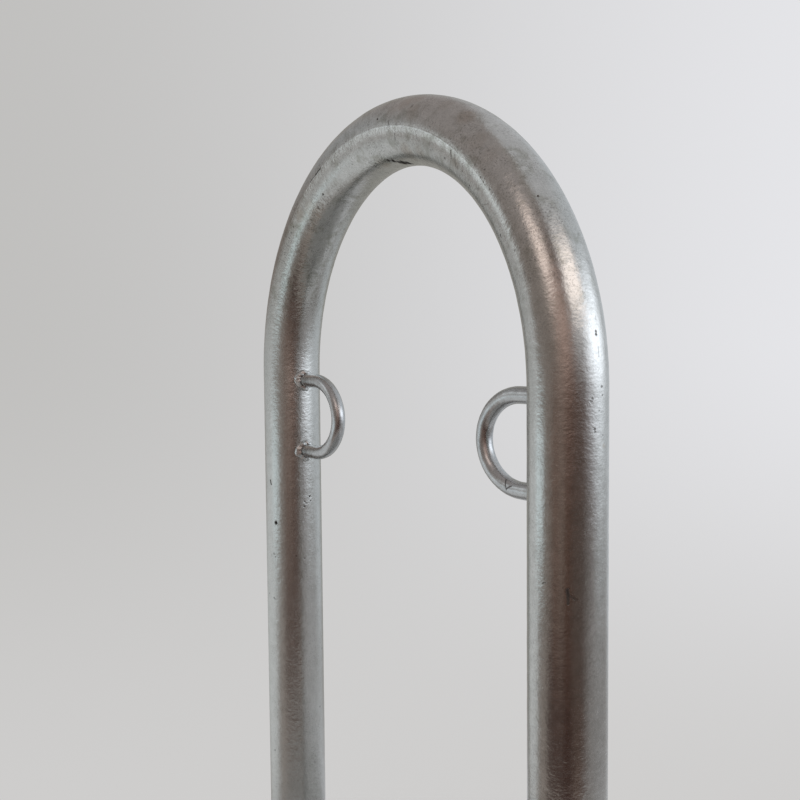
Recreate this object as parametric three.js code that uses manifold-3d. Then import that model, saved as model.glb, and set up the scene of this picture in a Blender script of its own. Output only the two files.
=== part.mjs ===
// Hoop bike rack for surface mounting, in millimetres, +Z up.
// The origin lies on the ground, midway between the two legs. The hoop stands in the XZ plane.
// One round tube is bent into a narrow inverted U. A small D-shaped lock ring of round bar is
// welded to the inner side of each leg, and each leg stands on a round flange held by four anchors.
import * as THREE from "three";
import { mergeVertices } from "three/addons/utils/BufferGeometryUtils.js";
import Module from "manifold-3d";

const wasm = await Module();
wasm.setup();

// Hoop: a round tube bent through half a turn at one radius
const overallHeight = 900;
const overallWidth = 500;
const tubeDiameter = 60.3;
const tubeWall = 2.9;

// Lock rings: round bar with two straight ends, the upper one just below the hoop's bend, and an
// oval nose between them
const ringBarDiameter = 14;
const ringEndSpacing = 75;
const ringReach = 100;
const ringNoseLength = 47;
const ringBelowBend = 7.5;

// Weld beads, whose throat bulges from flat (share 0) to a quarter ellipse (share 1)
const ringWeldWidth = 4;
const ringWeldLength = 4.5;
const baseWeldWidth = 6;
const baseWeldHeight = 6;
const weldBulgeShare = 0.6;

// Base flanges: the anchors stand clear of the foot bead for a spanner, and the rim clear of them
const flangeThickness = 8;
const flangeChamfer = 1;
const washerToWeldGap = 11.55;
const anchorToRim = 20;
const ventHoleDiameter = 24;

// Anchor fixings, size M12
const anchorDiameter = 12;
const anchorHoleClearance = 1;
const anchorPointChamfer = 1.5;
const anchorStandProud = 7;
const anchorEndRecess = 0.5;
const washerOuterDiameter = 24;
const washerBoreClearance = 0.5;
const washerThickness = 2.5;
const washerChamfer = 0.5;
const nutAcrossFlats = 18;
const nutHeight = 10.8;
const nutChamferAngle = THREE.MathUtils.degToRad(30);
const nutTurnStep = THREE.MathUtils.degToRad(22);

// Clearance that a piece keeps from the round face it is fitted to, run-out of every cutter past
// what it cuts, and the distance under which two corners count as one
const seatGap = 0.3;
const overrun = 10;
const cornerMerge = 0.0001;

// How many flats or steps stand for a round form
const tubeSides = 32;
const boreSides = 16;
const bendSteps = 40;
const barSides = 14;
const noseSteps = 24;
const weldSides = 20;
const weldProfileSteps = 4;
const flangeSides = 48;
const holeSides = 16;
const fixingSides = 16;
const nutRoundingSides = 24;

// Counts that belong to the design
const boltsPerFlange = 4;
const nutFlats = 6;

// Places worked out from the sizes above
const tubeRadius = tubeDiameter / 2;
const barRadius = ringBarDiameter / 2;
const bendRadius = (overallWidth - tubeDiameter) / 2;
const bendCentreHeight = overallHeight - tubeRadius - bendRadius;
const ringHeight = bendCentreHeight - ringBelowBend - ringEndSpacing / 2;
const baseWeldRadius = tubeRadius + seatGap + baseWeldWidth;
const anchorCircleRadius = baseWeldRadius + washerToWeldGap + washerOuterDiameter / 2;
const flangeRadius = anchorCircleRadius + anchorToRim;
const washerTop = flangeThickness + washerThickness;
const anchorTop = washerTop + nutHeight + anchorStandProud;

// Hot-dip galvanised steel, with duller zinc on the beads and brighter plating on the fixings
const galvanisedTube = new THREE.MeshStandardMaterial({
  color: 0x9ba0a1,
  roughness: 0.38,
  metalness: 0.9,
});
const galvanisedBar = new THREE.MeshStandardMaterial({
  color: 0x969b9b,
  roughness: 0.36,
  metalness: 0.9,
});
const galvanisedPlate = new THREE.MeshStandardMaterial({
  color: 0x8f9495,
  roughness: 0.48,
  metalness: 0.85,
});
const weldZinc = new THREE.MeshStandardMaterial({
  color: 0x8a8e8c,
  roughness: 0.5,
  metalness: 0.8,
});
const platedFixing = new THREE.MeshStandardMaterial({
  color: 0xa9adae,
  roughness: 0.32,
  metalness: 0.95,
});

// Corners of the regular polygon that stands for a circle, the first one at the angle startAngle
function circlePoints(radius, sides, startAngle = 0) {
  const points = [];
  for (let i = 0; i < sides; i += 1) {
    const angle = startAngle + (2 * Math.PI * i) / sides;
    points.push(new THREE.Vector2(radius * Math.cos(angle), radius * Math.sin(angle)));
  }
  return points;
}

// A closed solid from a three.js geometry
function solidFrom(geometry) {
  const loose = geometry.clone();
  loose.deleteAttribute("normal");
  loose.deleteAttribute("uv");
  const merged = mergeVertices(loose, cornerMerge);
  return new wasm.Manifold(
    new wasm.Mesh({
      numProp: 3,
      vertProperties: merged.getAttribute("position").array,
      triVerts: new Uint32Array(merged.index.array),
    }),
  );
}

// A three.js geometry from a solid, flat shaded
function geometryFrom(solid) {
  const mesh = solid.getMesh();
  const shared = new THREE.BufferGeometry();
  shared.setAttribute("position", new THREE.BufferAttribute(mesh.vertProperties, mesh.numProp));
  shared.setIndex(new THREE.BufferAttribute(mesh.triVerts, 1));
  const geometry = shared.toNonIndexed();
  geometry.computeVertexNormals();
  return geometry;
}

// A solid of revolution about +Z from a profile of radius and height that runs upwards outside
function turned(profile, sides) {
  return new THREE.LatheGeometry(profile, sides).rotateX(Math.PI / 2);
}

// A path in the XZ plane: a straight up from the origin's level, half an ellipse over the top, and
// a straight back down. A sweep along it gets one section at each end and arcSteps + 1 in the bend.
class BentPath extends THREE.Curve {
  constructor(straightLength, halfSpacing, noseLength, arcSteps) {
    super();
    this.straightLength = straightLength;
    this.halfSpacing = halfSpacing;
    this.noseLength = noseLength;
    this.arcSteps = arcSteps;
    this.sections = arcSteps + 2;
  }

  // Angle gone round the bend at the share t of the sections
  bendAngle(t) {
    const step = THREE.MathUtils.clamp(t * this.sections - 1, 0, this.arcSteps);
    return (Math.PI * step) / this.arcSteps;
  }

  getPoint(t, target = new THREE.Vector3()) {
    const angle = this.bendAngle(t);
    const nearestEnd = Math.min(t, 1 - t) * this.sections;
    const climbed = this.straightLength * Math.min(nearestEnd, 1);
    return target.set(
      -this.halfSpacing * Math.cos(angle),
      0,
      climbed + this.noseLength * Math.sin(angle),
    );
  }

  getTangent(t, target = new THREE.Vector3()) {
    const angle = this.bendAngle(t);
    return target
      .set(this.halfSpacing * Math.sin(angle), 0, this.noseLength * Math.cos(angle))
      .normalize();
  }

  getPointAt(t, target) {
    return this.getPoint(t, target);
  }

  getTangentAt(t, target) {
    return this.getTangent(t, target);
  }
}

// A section swept along a bent path
function sweep(section, path) {
  return new THREE.ExtrudeGeometry(section, { steps: path.sections, extrudePath: path });
}

// The hoop, standing on z = 0: an open-ended tube, so that molten zinc runs through its bore
function makeHoop() {
  const section = new THREE.Shape(circlePoints(tubeRadius, tubeSides));
  section.holes.push(new THREE.Path(circlePoints(tubeRadius - tubeWall, boreSides)));
  const legLength = bendCentreHeight - flangeThickness;
  return sweep(section, new BentPath(legLength, bendRadius, bendRadius, bendSteps));
}

// The round of a leg about the z axis, with its flats where the hoop has them and grown by the
// seat gap: it copes what is welded to the leg
function legCutter() {
  const length = ringEndSpacing + ringBarDiameter + 2 * overrun;
  const outline = new THREE.Shape(circlePoints(tubeRadius + seatGap, tubeSides));
  const round = new THREE.ExtrudeGeometry(outline, { depth: length, bevelEnabled: false });
  return solidFrom(round.translate(0, 0, -length / 2));
}

// A lock ring that reaches along +X from the leg's axis, both ends coped to the round of the tube
function makeRing() {
  const section = new THREE.Shape(circlePoints(barRadius, barSides));
  const straight = ringReach - ringNoseLength;
  const path = new BentPath(straight, ringEndSpacing / 2, ringNoseLength, noseSteps);
  const bar = sweep(section, path).rotateY(Math.PI / 2);
  return geometryFrom(solidFrom(bar).subtract(legCutter()));
}

// The closed outline of a weld bead in the corner between an upright face at the radius inner and
// the level it lies on
function beadProfile(inner, width, height) {
  const points = [new THREE.Vector2(inner, 0)];
  for (let i = 0; i <= weldProfileSteps; i += 1) {
    const share = i / weldProfileSteps;
    const angle = (Math.PI / 2) * share;
    const flat = new THREE.Vector2(1 - share, share);
    const round = new THREE.Vector2(Math.cos(angle), Math.sin(angle));
    const throat = flat.lerp(round, weldBulgeShare);
    points.push(new THREE.Vector2(inner + width * throat.x, height * throat.y));
  }
  points.push(new THREE.Vector2(inner, 0));
  return points;
}

// A bead round the end of a ring's bar along +X, wrapped onto the round of the leg's tube
function makeRingWeld() {
  const profile = beadProfile(barRadius + seatGap, ringWeldWidth, ringWeldLength);
  const bead = new THREE.LatheGeometry(profile, weldSides).rotateZ(-Math.PI / 2);
  const corners = bead.getAttribute("position");
  for (let i = 0; i < corners.count; i += 1) {
    const wrapped = Math.sqrt((tubeRadius + seatGap) ** 2 - corners.getY(i) ** 2);
    corners.setX(i, wrapped + corners.getX(i));
  }
  return bead;
}

// A bead round the foot of a leg, lying on its flange
function makeBaseWeld() {
  return turned(beadProfile(tubeRadius + seatGap, baseWeldWidth, baseWeldHeight), tubeSides);
}

// Centres of the anchors about a flange's axis, on diagonals so that none lies in the hoop's plane
function anchorCentres() {
  return circlePoints(anchorCircleRadius, boltsPerFlange, Math.PI / boltsPerFlange);
}

// A round flange with its anchor holes and a vent and drain into the tube, every edge chamfered
function makeFlange() {
  const outline = new THREE.Shape(circlePoints(flangeRadius, flangeSides));
  outline.holes.push(new THREE.Path(circlePoints(ventHoleDiameter / 2, holeSides)));
  const holeRadius = anchorDiameter / 2 + anchorHoleClearance;
  for (const centre of anchorCentres()) {
    const rim = circlePoints(holeRadius, holeSides).map((point) => point.add(centre));
    outline.holes.push(new THREE.Path(rim));
  }
  const plate = new THREE.ExtrudeGeometry(outline, {
    depth: flangeThickness - 2 * flangeChamfer,
    bevelThickness: flangeChamfer,
    bevelSize: flangeChamfer,
    bevelOffset: -flangeChamfer,
    bevelSegments: 1,
  });
  return plate.translate(0, 0, flangeChamfer);
}

// The end of a threaded anchor rod, from just inside the underside of its hole to its point
function makeAnchorRod() {
  const radius = anchorDiameter / 2;
  const profile = [
    new THREE.Vector2(0, anchorEndRecess),
    new THREE.Vector2(radius, anchorEndRecess),
    new THREE.Vector2(radius, anchorTop - anchorPointChamfer),
    new THREE.Vector2(radius - anchorPointChamfer, anchorTop),
    new THREE.Vector2(0, anchorTop),
  ];
  return turned(profile, fixingSides);
}

// A plain washer with its upper outer edge chamfered
function makeWasher() {
  const outer = washerOuterDiameter / 2;
  const bore = anchorDiameter / 2 + washerBoreClearance;
  const profile = [
    new THREE.Vector2(bore, 0),
    new THREE.Vector2(outer, 0),
    new THREE.Vector2(outer, washerThickness - washerChamfer),
    new THREE.Vector2(outer - washerChamfer, washerThickness),
    new THREE.Vector2(bore, washerThickness),
    new THREE.Vector2(bore, 0),
  ];
  return turned(profile, fixingSides);
}

// A bored hexagon nut with the corners of both faces turned off at a shallow angle
function makeNut() {
  const flatRadius = nutAcrossFlats / 2;
  const cornerRadius = flatRadius / Math.cos(Math.PI / nutFlats);
  const cornerDrop = (cornerRadius - flatRadius) * Math.tan(nutChamferAngle);
  const prismOutline = new THREE.Shape(circlePoints(cornerRadius, nutFlats));
  const prism = new THREE.ExtrudeGeometry(prismOutline, { depth: nutHeight, bevelEnabled: false });
  const rounding = turned(
    [
      new THREE.Vector2(0, 0),
      new THREE.Vector2(flatRadius, 0),
      new THREE.Vector2(cornerRadius, cornerDrop),
      new THREE.Vector2(cornerRadius, nutHeight - cornerDrop),
      new THREE.Vector2(flatRadius, nutHeight),
      new THREE.Vector2(0, nutHeight),
    ],
    nutRoundingSides,
  );
  const boreRadius = anchorDiameter / 2 + seatGap;
  const boreLength = nutHeight + 2 * overrun;
  const bore = new THREE.CylinderGeometry(boreRadius, boreRadius, boreLength, fixingSides);
  bore.rotateX(Math.PI / 2).translate(0, 0, nutHeight / 2);
  const blank = solidFrom(prism).intersect(solidFrom(rounding));
  return geometryFrom(blank.subtract(solidFrom(bore)));
}

// A named piece at a height in its group
function piece(name, geometry, material, height = 0) {
  const mesh = new THREE.Mesh(geometry, material);
  mesh.name = name;
  mesh.position.z = height;
  return mesh;
}

const ringGeometry = makeRing();
const ringWeldGeometry = makeRingWeld();
const flangeGeometry = makeFlange();
const baseWeldGeometry = makeBaseWeld();
const anchorRodGeometry = makeAnchorRod();
const washerGeometry = makeWasher();
const nutGeometry = makeNut();

// A lock ring and its two beads about the leg's axis, reaching along +X
function lockRing(side) {
  const group = new THREE.Group();
  group.add(piece(`lock_ring_${side}`, ringGeometry, galvanisedBar));
  const halfSpacing = ringEndSpacing / 2;
  group.add(piece(`ring_weld_${side}_upper`, ringWeldGeometry, weldZinc, halfSpacing));
  group.add(piece(`ring_weld_${side}_lower`, ringWeldGeometry, weldZinc, -halfSpacing));
  return group;
}

// A flange on the ground with the bead round its leg and its anchor fixings, each nut tightened to
// another angle
function foot(side) {
  const group = new THREE.Group();
  group.add(piece(`base_flange_${side}`, flangeGeometry, galvanisedPlate));
  group.add(piece(`base_weld_${side}`, baseWeldGeometry, weldZinc, flangeThickness));
  anchorCentres().forEach((centre, index) => {
    const label = `${side}_${index + 1}`;
    const fixing = new THREE.Group();
    fixing.position.set(centre.x, centre.y, 0);
    fixing.add(piece(`anchor_rod_${label}`, anchorRodGeometry, platedFixing));
    fixing.add(piece(`anchor_washer_${label}`, washerGeometry, platedFixing, flangeThickness));
    const nut = piece(`anchor_nut_${label}`, nutGeometry, platedFixing, washerTop);
    nut.rotation.z = index * nutTurnStep;
    fixing.add(nut);
    group.add(fixing);
  });
  return group;
}

const hoopRack = new THREE.Group();
hoopRack.add(piece("hoop_tube", makeHoop(), galvanisedTube, flangeThickness));

// The left leg's ring reaches right, and the right leg's ring is turned half a turn to reach left
for (const [side, legX, turn] of [
  ["left", -bendRadius, 0],
  ["right", bendRadius, Math.PI],
]) {
  const ring = lockRing(side);
  ring.position.set(legX, 0, ringHeight);
  ring.rotation.z = turn;
  hoopRack.add(ring);

  const base = foot(side);
  base.position.x = legX;
  hoopRack.add(base);
}

export default hoopRack;
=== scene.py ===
"""Hoop bike rack: smooth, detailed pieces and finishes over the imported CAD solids, and their stage."""

from math import cos, pi, radians, sin, sqrt, tan

import bpy
import numpy as np
from bpy.props import FloatProperty, FloatVectorProperty, PointerProperty
from mathutils import Matrix, Vector


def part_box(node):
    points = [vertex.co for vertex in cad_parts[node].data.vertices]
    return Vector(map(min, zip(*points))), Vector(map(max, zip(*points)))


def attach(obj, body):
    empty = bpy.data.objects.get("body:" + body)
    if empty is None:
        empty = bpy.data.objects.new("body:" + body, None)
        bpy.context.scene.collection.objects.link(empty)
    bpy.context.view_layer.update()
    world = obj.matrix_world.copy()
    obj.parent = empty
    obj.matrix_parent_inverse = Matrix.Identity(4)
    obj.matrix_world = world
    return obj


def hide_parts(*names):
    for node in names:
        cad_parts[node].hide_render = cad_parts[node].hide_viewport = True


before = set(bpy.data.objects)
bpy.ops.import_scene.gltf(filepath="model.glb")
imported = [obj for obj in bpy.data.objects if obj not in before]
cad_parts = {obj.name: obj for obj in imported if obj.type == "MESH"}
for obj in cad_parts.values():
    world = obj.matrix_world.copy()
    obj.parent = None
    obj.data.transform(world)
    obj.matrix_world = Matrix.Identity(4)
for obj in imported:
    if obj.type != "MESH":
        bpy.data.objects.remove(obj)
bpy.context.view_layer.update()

bl_info = {
    "name": "Hoop bike rack",
    "version": (1, 0, 0),
    "blender": (4, 5, 0),
    "location": "3D View > Sidebar > Bike Rack",
    "description": "Dresses the solids of a galvanised hoop bike rack and sets its stage",
    "category": "Add Mesh",
}

# Places of the CAD solids, in metres
HOOP_LOW, HOOP_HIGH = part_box("hoop_tube")
RING_LOW, RING_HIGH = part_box("lock_ring_left")
PLATE_LOW, PLATE_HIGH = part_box("base_flange_left")
FOOT_BEAD_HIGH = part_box("base_weld_left")[1]
ROD_LOW, ROD_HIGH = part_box("anchor_rod_left_1")
WASHER_LOW, WASHER_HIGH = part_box("anchor_washer_left_1")
NUT_LOW, NUT_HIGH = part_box("anchor_nut_left_1")

MM = 0.001
SIDES = {"left": -1, "right": 1}
ANCHORS = (1, 2, 3, 4)
UV_NAME = "along_and_round"


# Sizes and colours

def length(name, description, default):
    """A length property in metres."""
    return FloatProperty(
        name=name, description=description, default=default, min=0.0, precision=5, subtype="DISTANCE",
        unit="LENGTH"
    )


def angle(name, description, default):
    """A property in degrees."""
    return FloatProperty(name=name, description=description, default=radians(default), subtype="ANGLE")


def share(name, description, default):
    """A property between 0 and 1."""
    return FloatProperty(
        name=name, description=description, default=default, min=0.0, max=1.0, subtype="FACTOR"
    )


def colour(name, description, default):
    """A colour property, in linear red, green and blue."""
    return FloatVectorProperty(
        name=name, description=description, default=default, size=3, min=0.0, max=4.0, subtype="COLOR"
    )


class RackSizes(bpy.types.PropertyGroup):
    """Sizes of the rack's pieces. Those that a CAD solid fixes start from its box."""

    tube_diameter: length("Tube diameter", "Outside diameter of the bent tube", HOOP_HIGH.y - HOOP_LOW.y)
    seam_turn: angle("Seam turn", "Place of the tube's lengthwise weld round it, from its outer side", -88)
    seam_height: length("Seam height", "How far that weld stands up", 0.00005)
    tube_wall: length("Tube wall", "Wall thickness of the bent tube", 0.0029)
    hoop_width: length("Hoop width", "Width over both legs", HOOP_HIGH.x - HOOP_LOW.x)
    hoop_top: length("Hoop top", "Height of the crown over the ground", HOOP_HIGH.z)
    hoop_foot: length("Hoop foot", "Height of the tube's lower ends over the ground", HOOP_LOW.z)
    zinc_lumps: length("Zinc lumps", "Height of the slow waves in the zinc skin", 0.00003)
    bar_diameter: length("Lock ring bar", "Diameter of the lock rings' round bar", 0.014)
    ring_height: length("Ring height", "Height of the lock rings' middle", (RING_LOW.z + RING_HIGH.z) / 2)
    ring_spacing: length("Lock ring end spacing", "Distance between the two ends of a lock ring", 0.075)
    ring_reach: length("Lock ring reach", "From the leg's axis to the nose's centre line", 0.1)
    ring_nose: length("Lock ring nose", "Length of the rounded nose of a lock ring", 0.047)
    ring_bead: length("Ring bead width", "Width of the weld bead at a lock ring's end", 0.0043)
    ring_bead_height: length("Ring bead height", "How far the bead climbs up the bar", 0.0045)
    plate_diameter: length("Flange diameter", "Diameter of the base flange", PLATE_HIGH.x - PLATE_LOW.x)
    plate_thickness: length("Flange thickness", "Thickness of the base flange", PLATE_HIGH.z)
    plate_edge: length("Flange edge", "Radius of the flange's rounded edge", 0.001)
    vent_diameter: length("Vent hole", "Diameter of the hole under the tube", 0.024)
    anchor_hole: length("Anchor hole", "Diameter of the flange's anchor holes", 0.014)
    anchor_circle: length("Anchor circle", "Diameter of the circle through the anchors", 0.12)
    foot_bead: length("Foot bead width", "Width of a leg's foot bead", FOOT_BEAD_HIGH.z - PLATE_HIGH.z)
    rod_diameter: length("Anchor rod", "Diameter of the anchor rods over the thread", 0.012)
    thread_pitch: length("Thread pitch", "Pitch of the anchor rods' thread", 0.00175)
    washer_diameter: length("Washer diameter", "Diameter of the washers", WASHER_HIGH.x - WASHER_LOW.x)
    washer_bore: length("Washer bore", "Bore of the washers", 0.013)
    nut_across_flats: length("Nut across flats", "Width of the nuts across their flats", 0.018)


class RackFinish(bpy.types.PropertyGroup):
    """Colours and roughness of the zinc."""

    tube_light: colour("Tube, light", "Lighter zinc of the tube", (0.57, 0.58, 0.565))
    tube_dark: colour("Tube, dark", "Darker zinc of the tube", (0.46, 0.47, 0.455))
    bar_light: colour("Bar, light", "Lighter zinc of the lock rings", (0.56, 0.575, 0.58))
    bar_dark: colour("Bar, dark", "Darker zinc of the lock rings", (0.43, 0.445, 0.45))
    plate_light: colour("Flange, light", "Lighter zinc of the flanges", (0.50, 0.52, 0.52))
    plate_dark: colour("Flange, dark", "Darker zinc of the flanges", (0.36, 0.38, 0.385))
    bead_light: colour("Bead, light", "Lighter zinc of the weld beads", (0.72, 0.745, 0.745))
    bead_dark: colour("Bead, dark", "Darker zinc of the weld beads", (0.52, 0.54, 0.54))
    fixing_light: colour("Fixings, light", "Lighter plating of nuts, washers and rods", (0.60, 0.62, 0.62))
    fixing_dark: colour("Fixings, dark", "Darker plating of nuts, washers and rods", (0.42, 0.43, 0.43))
    # Also the colour of the painted shade along the edges of the weld beads
    soot_and_shade: colour("Pits", "Dark bottom of pits and specks", (0.045, 0.04, 0.036))
    stain: colour("Stains", "Brown bloom of the flux stains", (0.36, 0.31, 0.25))
    tarnish: colour("Tarnish", "Dull greenish grey of tarnished zinc", (0.31, 0.315, 0.28))
    bloom: colour("Bloom", "Dry pale bloom on the zinc", (0.66, 0.69, 0.68))
    tube_roughness: share("Tube roughness", "Roughness of the tube's zinc", 0.23)
    bar_roughness: share("Bar roughness", "Roughness of the lock rings' zinc", 0.27)
    plate_roughness: share("Flange roughness", "Roughness of the flanges' zinc", 0.42)
    bead_roughness: share("Bead roughness", "Roughness of the weld beads", 0.36)
    fixing_roughness: share("Fixings roughness", "Roughness of nuts, washers and rods", 0.28)


class RackStage(bpy.types.PropertyGroup):
    """Floor, backdrop, lamps and camera."""

    floor_colour: colour("Floor", "Colour of the pale floor", (0.86, 0.86, 0.86))
    floor_clear: length("Floor, clear from", "Radius at which the floor starts to fade", 0.36)
    floor_end: length("Floor, gone at", "Radius at which the floor has faded", 0.62)
    backdrop: colour("Backdrop", "Middle tone of the backdrop", (0.62, 0.613, 0.607))
    room: colour("Room", "Tone of the room all round, seen in the metal", (0.342, 0.296, 0.256))
    room_radius: length("Room radius", "Distance of the room that shows in the metal", 1.0)
    room_height: length("Room height", "Height of the middle of that room", 0.6)
    camera_lens: length("Lens", "Focal length of the camera", 0.047495)


# Surfaces

def full_turn(columns, closed=False):
    """Even turns round a circle, with the first one again at the end where it is closed."""
    return np.linspace(0, 2 * pi, columns + closed, endpoint=closed)


def round_axis(radius, around, height, centre=(0, 0)):
    """Points at a radius, turn and height round an upright axis through the centre."""
    across, deep = radius * np.cos(around), radius * np.sin(around)
    return np.stack([centre[0] + across, centre[1] + deep, np.broadcast_to(height, across.shape)], -1)


def surface(points, along=None, around=None, rows_wrap=False, columns_wrap=False, flip=False):
    """One grid of points, rows by columns, as points, quads and a UV for each corner of each quad.
    A quad goes from a point to the next column, on to the next row, and back. Along and around give the
    UV of each row and column, with one value more than there are where the grid wraps."""
    rows, columns = points.shape[:2]
    row = np.arange(rows if rows_wrap else rows - 1)
    column = np.arange(columns if columns_wrap else columns - 1)
    row, column = np.meshgrid(row, column, indexing="ij")
    next_row, next_column = row + 1, column + 1
    corners_row = np.stack([row, row, next_row, next_row], -1).reshape(-1, 4)
    corners_column = np.stack([column, next_column, next_column, column], -1).reshape(-1, 4)
    quads = (corners_row % rows) * columns + corners_column % columns
    along = np.linspace(0, 1, rows + 1) if along is None else along
    around = np.linspace(0, 1, columns + 1) if around is None else around
    uv = np.stack([np.asarray(along)[corners_row], np.asarray(around)[corners_column]], -1)
    if flip:
        quads, uv = quads[:, ::-1], uv[:, ::-1]
    return points.reshape(-1, 3), quads, uv


def joined(surfaces):
    """Several surfaces as one: points that round to the same thousandth of a millimetre become one
    point, found by one whole number made of their three."""
    offsets = np.cumsum([0] + [len(points) for points, _, _ in surfaces])
    points = np.concatenate([points for points, _, _ in surfaces])
    quads = np.concatenate([quads + start for (_, quads, _), start in zip(surfaces, offsets)])
    uv = np.concatenate([uv for _, _, uv in surfaces])
    whole = np.round(points / 1e-6).astype(np.int64) + 2**20
    key = (whole[:, 0] * 2**21 + whole[:, 1]) * 2**21 + whole[:, 2]
    _, first, place = np.unique(key, return_index=True, return_inverse=True)
    return points[first], place.reshape(-1)[quads], uv


def volume(points, quads):
    """Six times the volume inside closed quads: the sum over their triangles of the triple product of
    the corners."""
    a, b, c, d = (points[quads[:, corner]] for corner in range(4))
    return np.einsum("ij,ij->", a, np.cross(b, c)) + np.einsum("ij,ij->", a, np.cross(c, d))


def check_closed(name, corners, starts, sizes):
    """Raises an error unless every edge has two faces, one each way."""
    step = np.arange(len(corners)) + 1
    step[starts + sizes - 1] = starts
    edges = corners.astype(np.int64) * 2**32 + corners[step]
    back = corners[step].astype(np.int64) * 2**32 + corners
    if len(np.unique(edges)) != len(edges) or not np.array_equal(np.sort(edges), np.sort(back)):
        raise RuntimeError(f"{name} has an open or doubled edge")


def make_piece(name, surfaces, material, nodes, sharp=None):
    """Puts joined surfaces into a mesh object with its faces outwards, shaded smooth but for edges sharper
    than an angle, hangs it on the root body and hides the CAD solids of the nodes that it stands for. A
    quad that lost a corner at a pole becomes a triangle."""
    points, quads, uv = joined(surfaces)
    if volume(points, quads) < 0:
        quads, uv = quads[:, ::-1], uv[:, ::-1]
    kept = quads != np.roll(quads, -1, axis=1)
    sizes = kept.sum(1)
    good = sizes > 2
    corners = quads[good][kept[good]]
    corner_uv = uv[good][kept[good]]
    sizes = sizes[good]
    starts = np.concatenate([[0], np.cumsum(sizes)[:-1]])
    check_closed(name, corners, starts, sizes)
    mesh = bpy.data.meshes.new(name)
    mesh.vertices.add(len(points))
    mesh.vertices.foreach_set("co", points.astype(np.float32).ravel())
    mesh.loops.add(len(corners))
    mesh.loops.foreach_set("vertex_index", corners.astype(np.int32))
    mesh.polygons.add(len(sizes))
    mesh.polygons.foreach_set("loop_start", starts.astype(np.int32))
    mesh.update(calc_edges=True)
    layer = mesh.uv_layers.new(name=UV_NAME)
    layer.uv.foreach_set("vector", corner_uv.astype(np.float32).ravel())
    mesh.shade_smooth()
    if sharp is not None:
        mesh.set_sharp_from_angle(angle=radians(sharp))
    mesh.materials.append(material)
    piece = bpy.data.objects.new(name, mesh)
    bpy.context.scene.collection.objects.link(piece)
    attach(piece, "root")
    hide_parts(*nodes)
    return piece


def waves(along, around, seed, shortest, longest, most_turns, count=36):
    """Slow random relief with a mean square of one: a sum of cosines of the distance along and a whole
    number of turns around, so it closes on itself. Lengths lie between shortest and longest."""
    draw = np.random.default_rng(seed)
    lengths = shortest * (longest / shortest) ** draw.random(count)
    signs = draw.choice([-1, 1], count)
    turns = draw.integers(-most_turns, most_turns + 1, count)
    phases = draw.random(count) * 2 * pi
    total = np.zeros(np.broadcast(along, around).shape)
    for wave, sign, turn, phase in zip(lengths, signs, turns, phases):
        total += np.cos(sign * 2 * pi * along / wave + turn * around + phase)
    return total * sqrt(2 / count)


def ring_waves(around, seed, most_turns, fewest_turns=1):
    """Random relief round a circle with a mean square of one: a sum of cosines of whole turns."""
    draw = np.random.default_rng(seed)
    total = np.zeros(np.shape(around))
    turns = np.arange(fewest_turns, most_turns + 1)
    for turn, phase in zip(turns, draw.random(len(turns)) * 2 * pi):
        total += np.cos(turn * around + phase)
    return total * sqrt(2 / len(turns))


# Hoop

# How many times its usual height the slow relief of the zinc may stand up or sink in
LUMP_CAP = 2.2
# The tube's lengthwise weld on the crown: half the length on which it stands up, and half its width, in
# metres
SEAM_HALF_LENGTH = 0.17
SEAM_RIDGE = 0.0012


def zinc_depth(sizes, lumps):
    """How far the zinc's slow relief pulls a surface in, as a height under its highest places."""
    return sizes.zinc_lumps * (np.clip(lumps, -LUMP_CAP, LUMP_CAP) - LUMP_CAP)


def leg_place(sizes):
    """Distance of a leg's axis from the middle, which is the bend's radius too."""
    return (sizes.hoop_width - sizes.tube_diameter) / 2


def hoop_measures(sizes):
    """Bend radius, bend height, leg length and whole length of the hoop's centre line."""
    bend = leg_place(sizes)
    bend_height = sizes.hoop_top - sizes.hoop_width / 2
    leg = bend_height - sizes.hoop_foot
    return bend, bend_height, leg, 2 * leg + pi * bend


def hoop_line(sizes, along):
    """Centre line of the hoop at distances along it, and the direction outwards: up the left leg, half a
    circle round the bend's centre, and down the right leg."""
    bend, bend_height, leg, _ = hoop_measures(sizes)
    swept = np.clip((along - leg) / bend, 0, pi)
    below = np.minimum(along - leg, 0) + np.minimum(leg + pi * bend - along, 0)
    outward = np.stack([-np.cos(swept), 0 * swept, np.sin(swept)], -1)
    centre = outward * bend + np.stack([0 * swept, 0 * swept, bend_height + below], -1)
    return centre, outward


def on_hoop(sizes, along, around, radius):
    """Points round the hoop's centre line: the outward direction times the cosine of the turn, plus the
    direction to the back times its sine, times the radius."""
    centre, outward = hoop_line(sizes, along)
    back = np.array([0.0, 1.0, 0.0])
    out = outward * np.cos(around)[..., None] + back * np.sin(around)[..., None]
    return centre + out * np.asarray(radius)[..., None]


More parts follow.
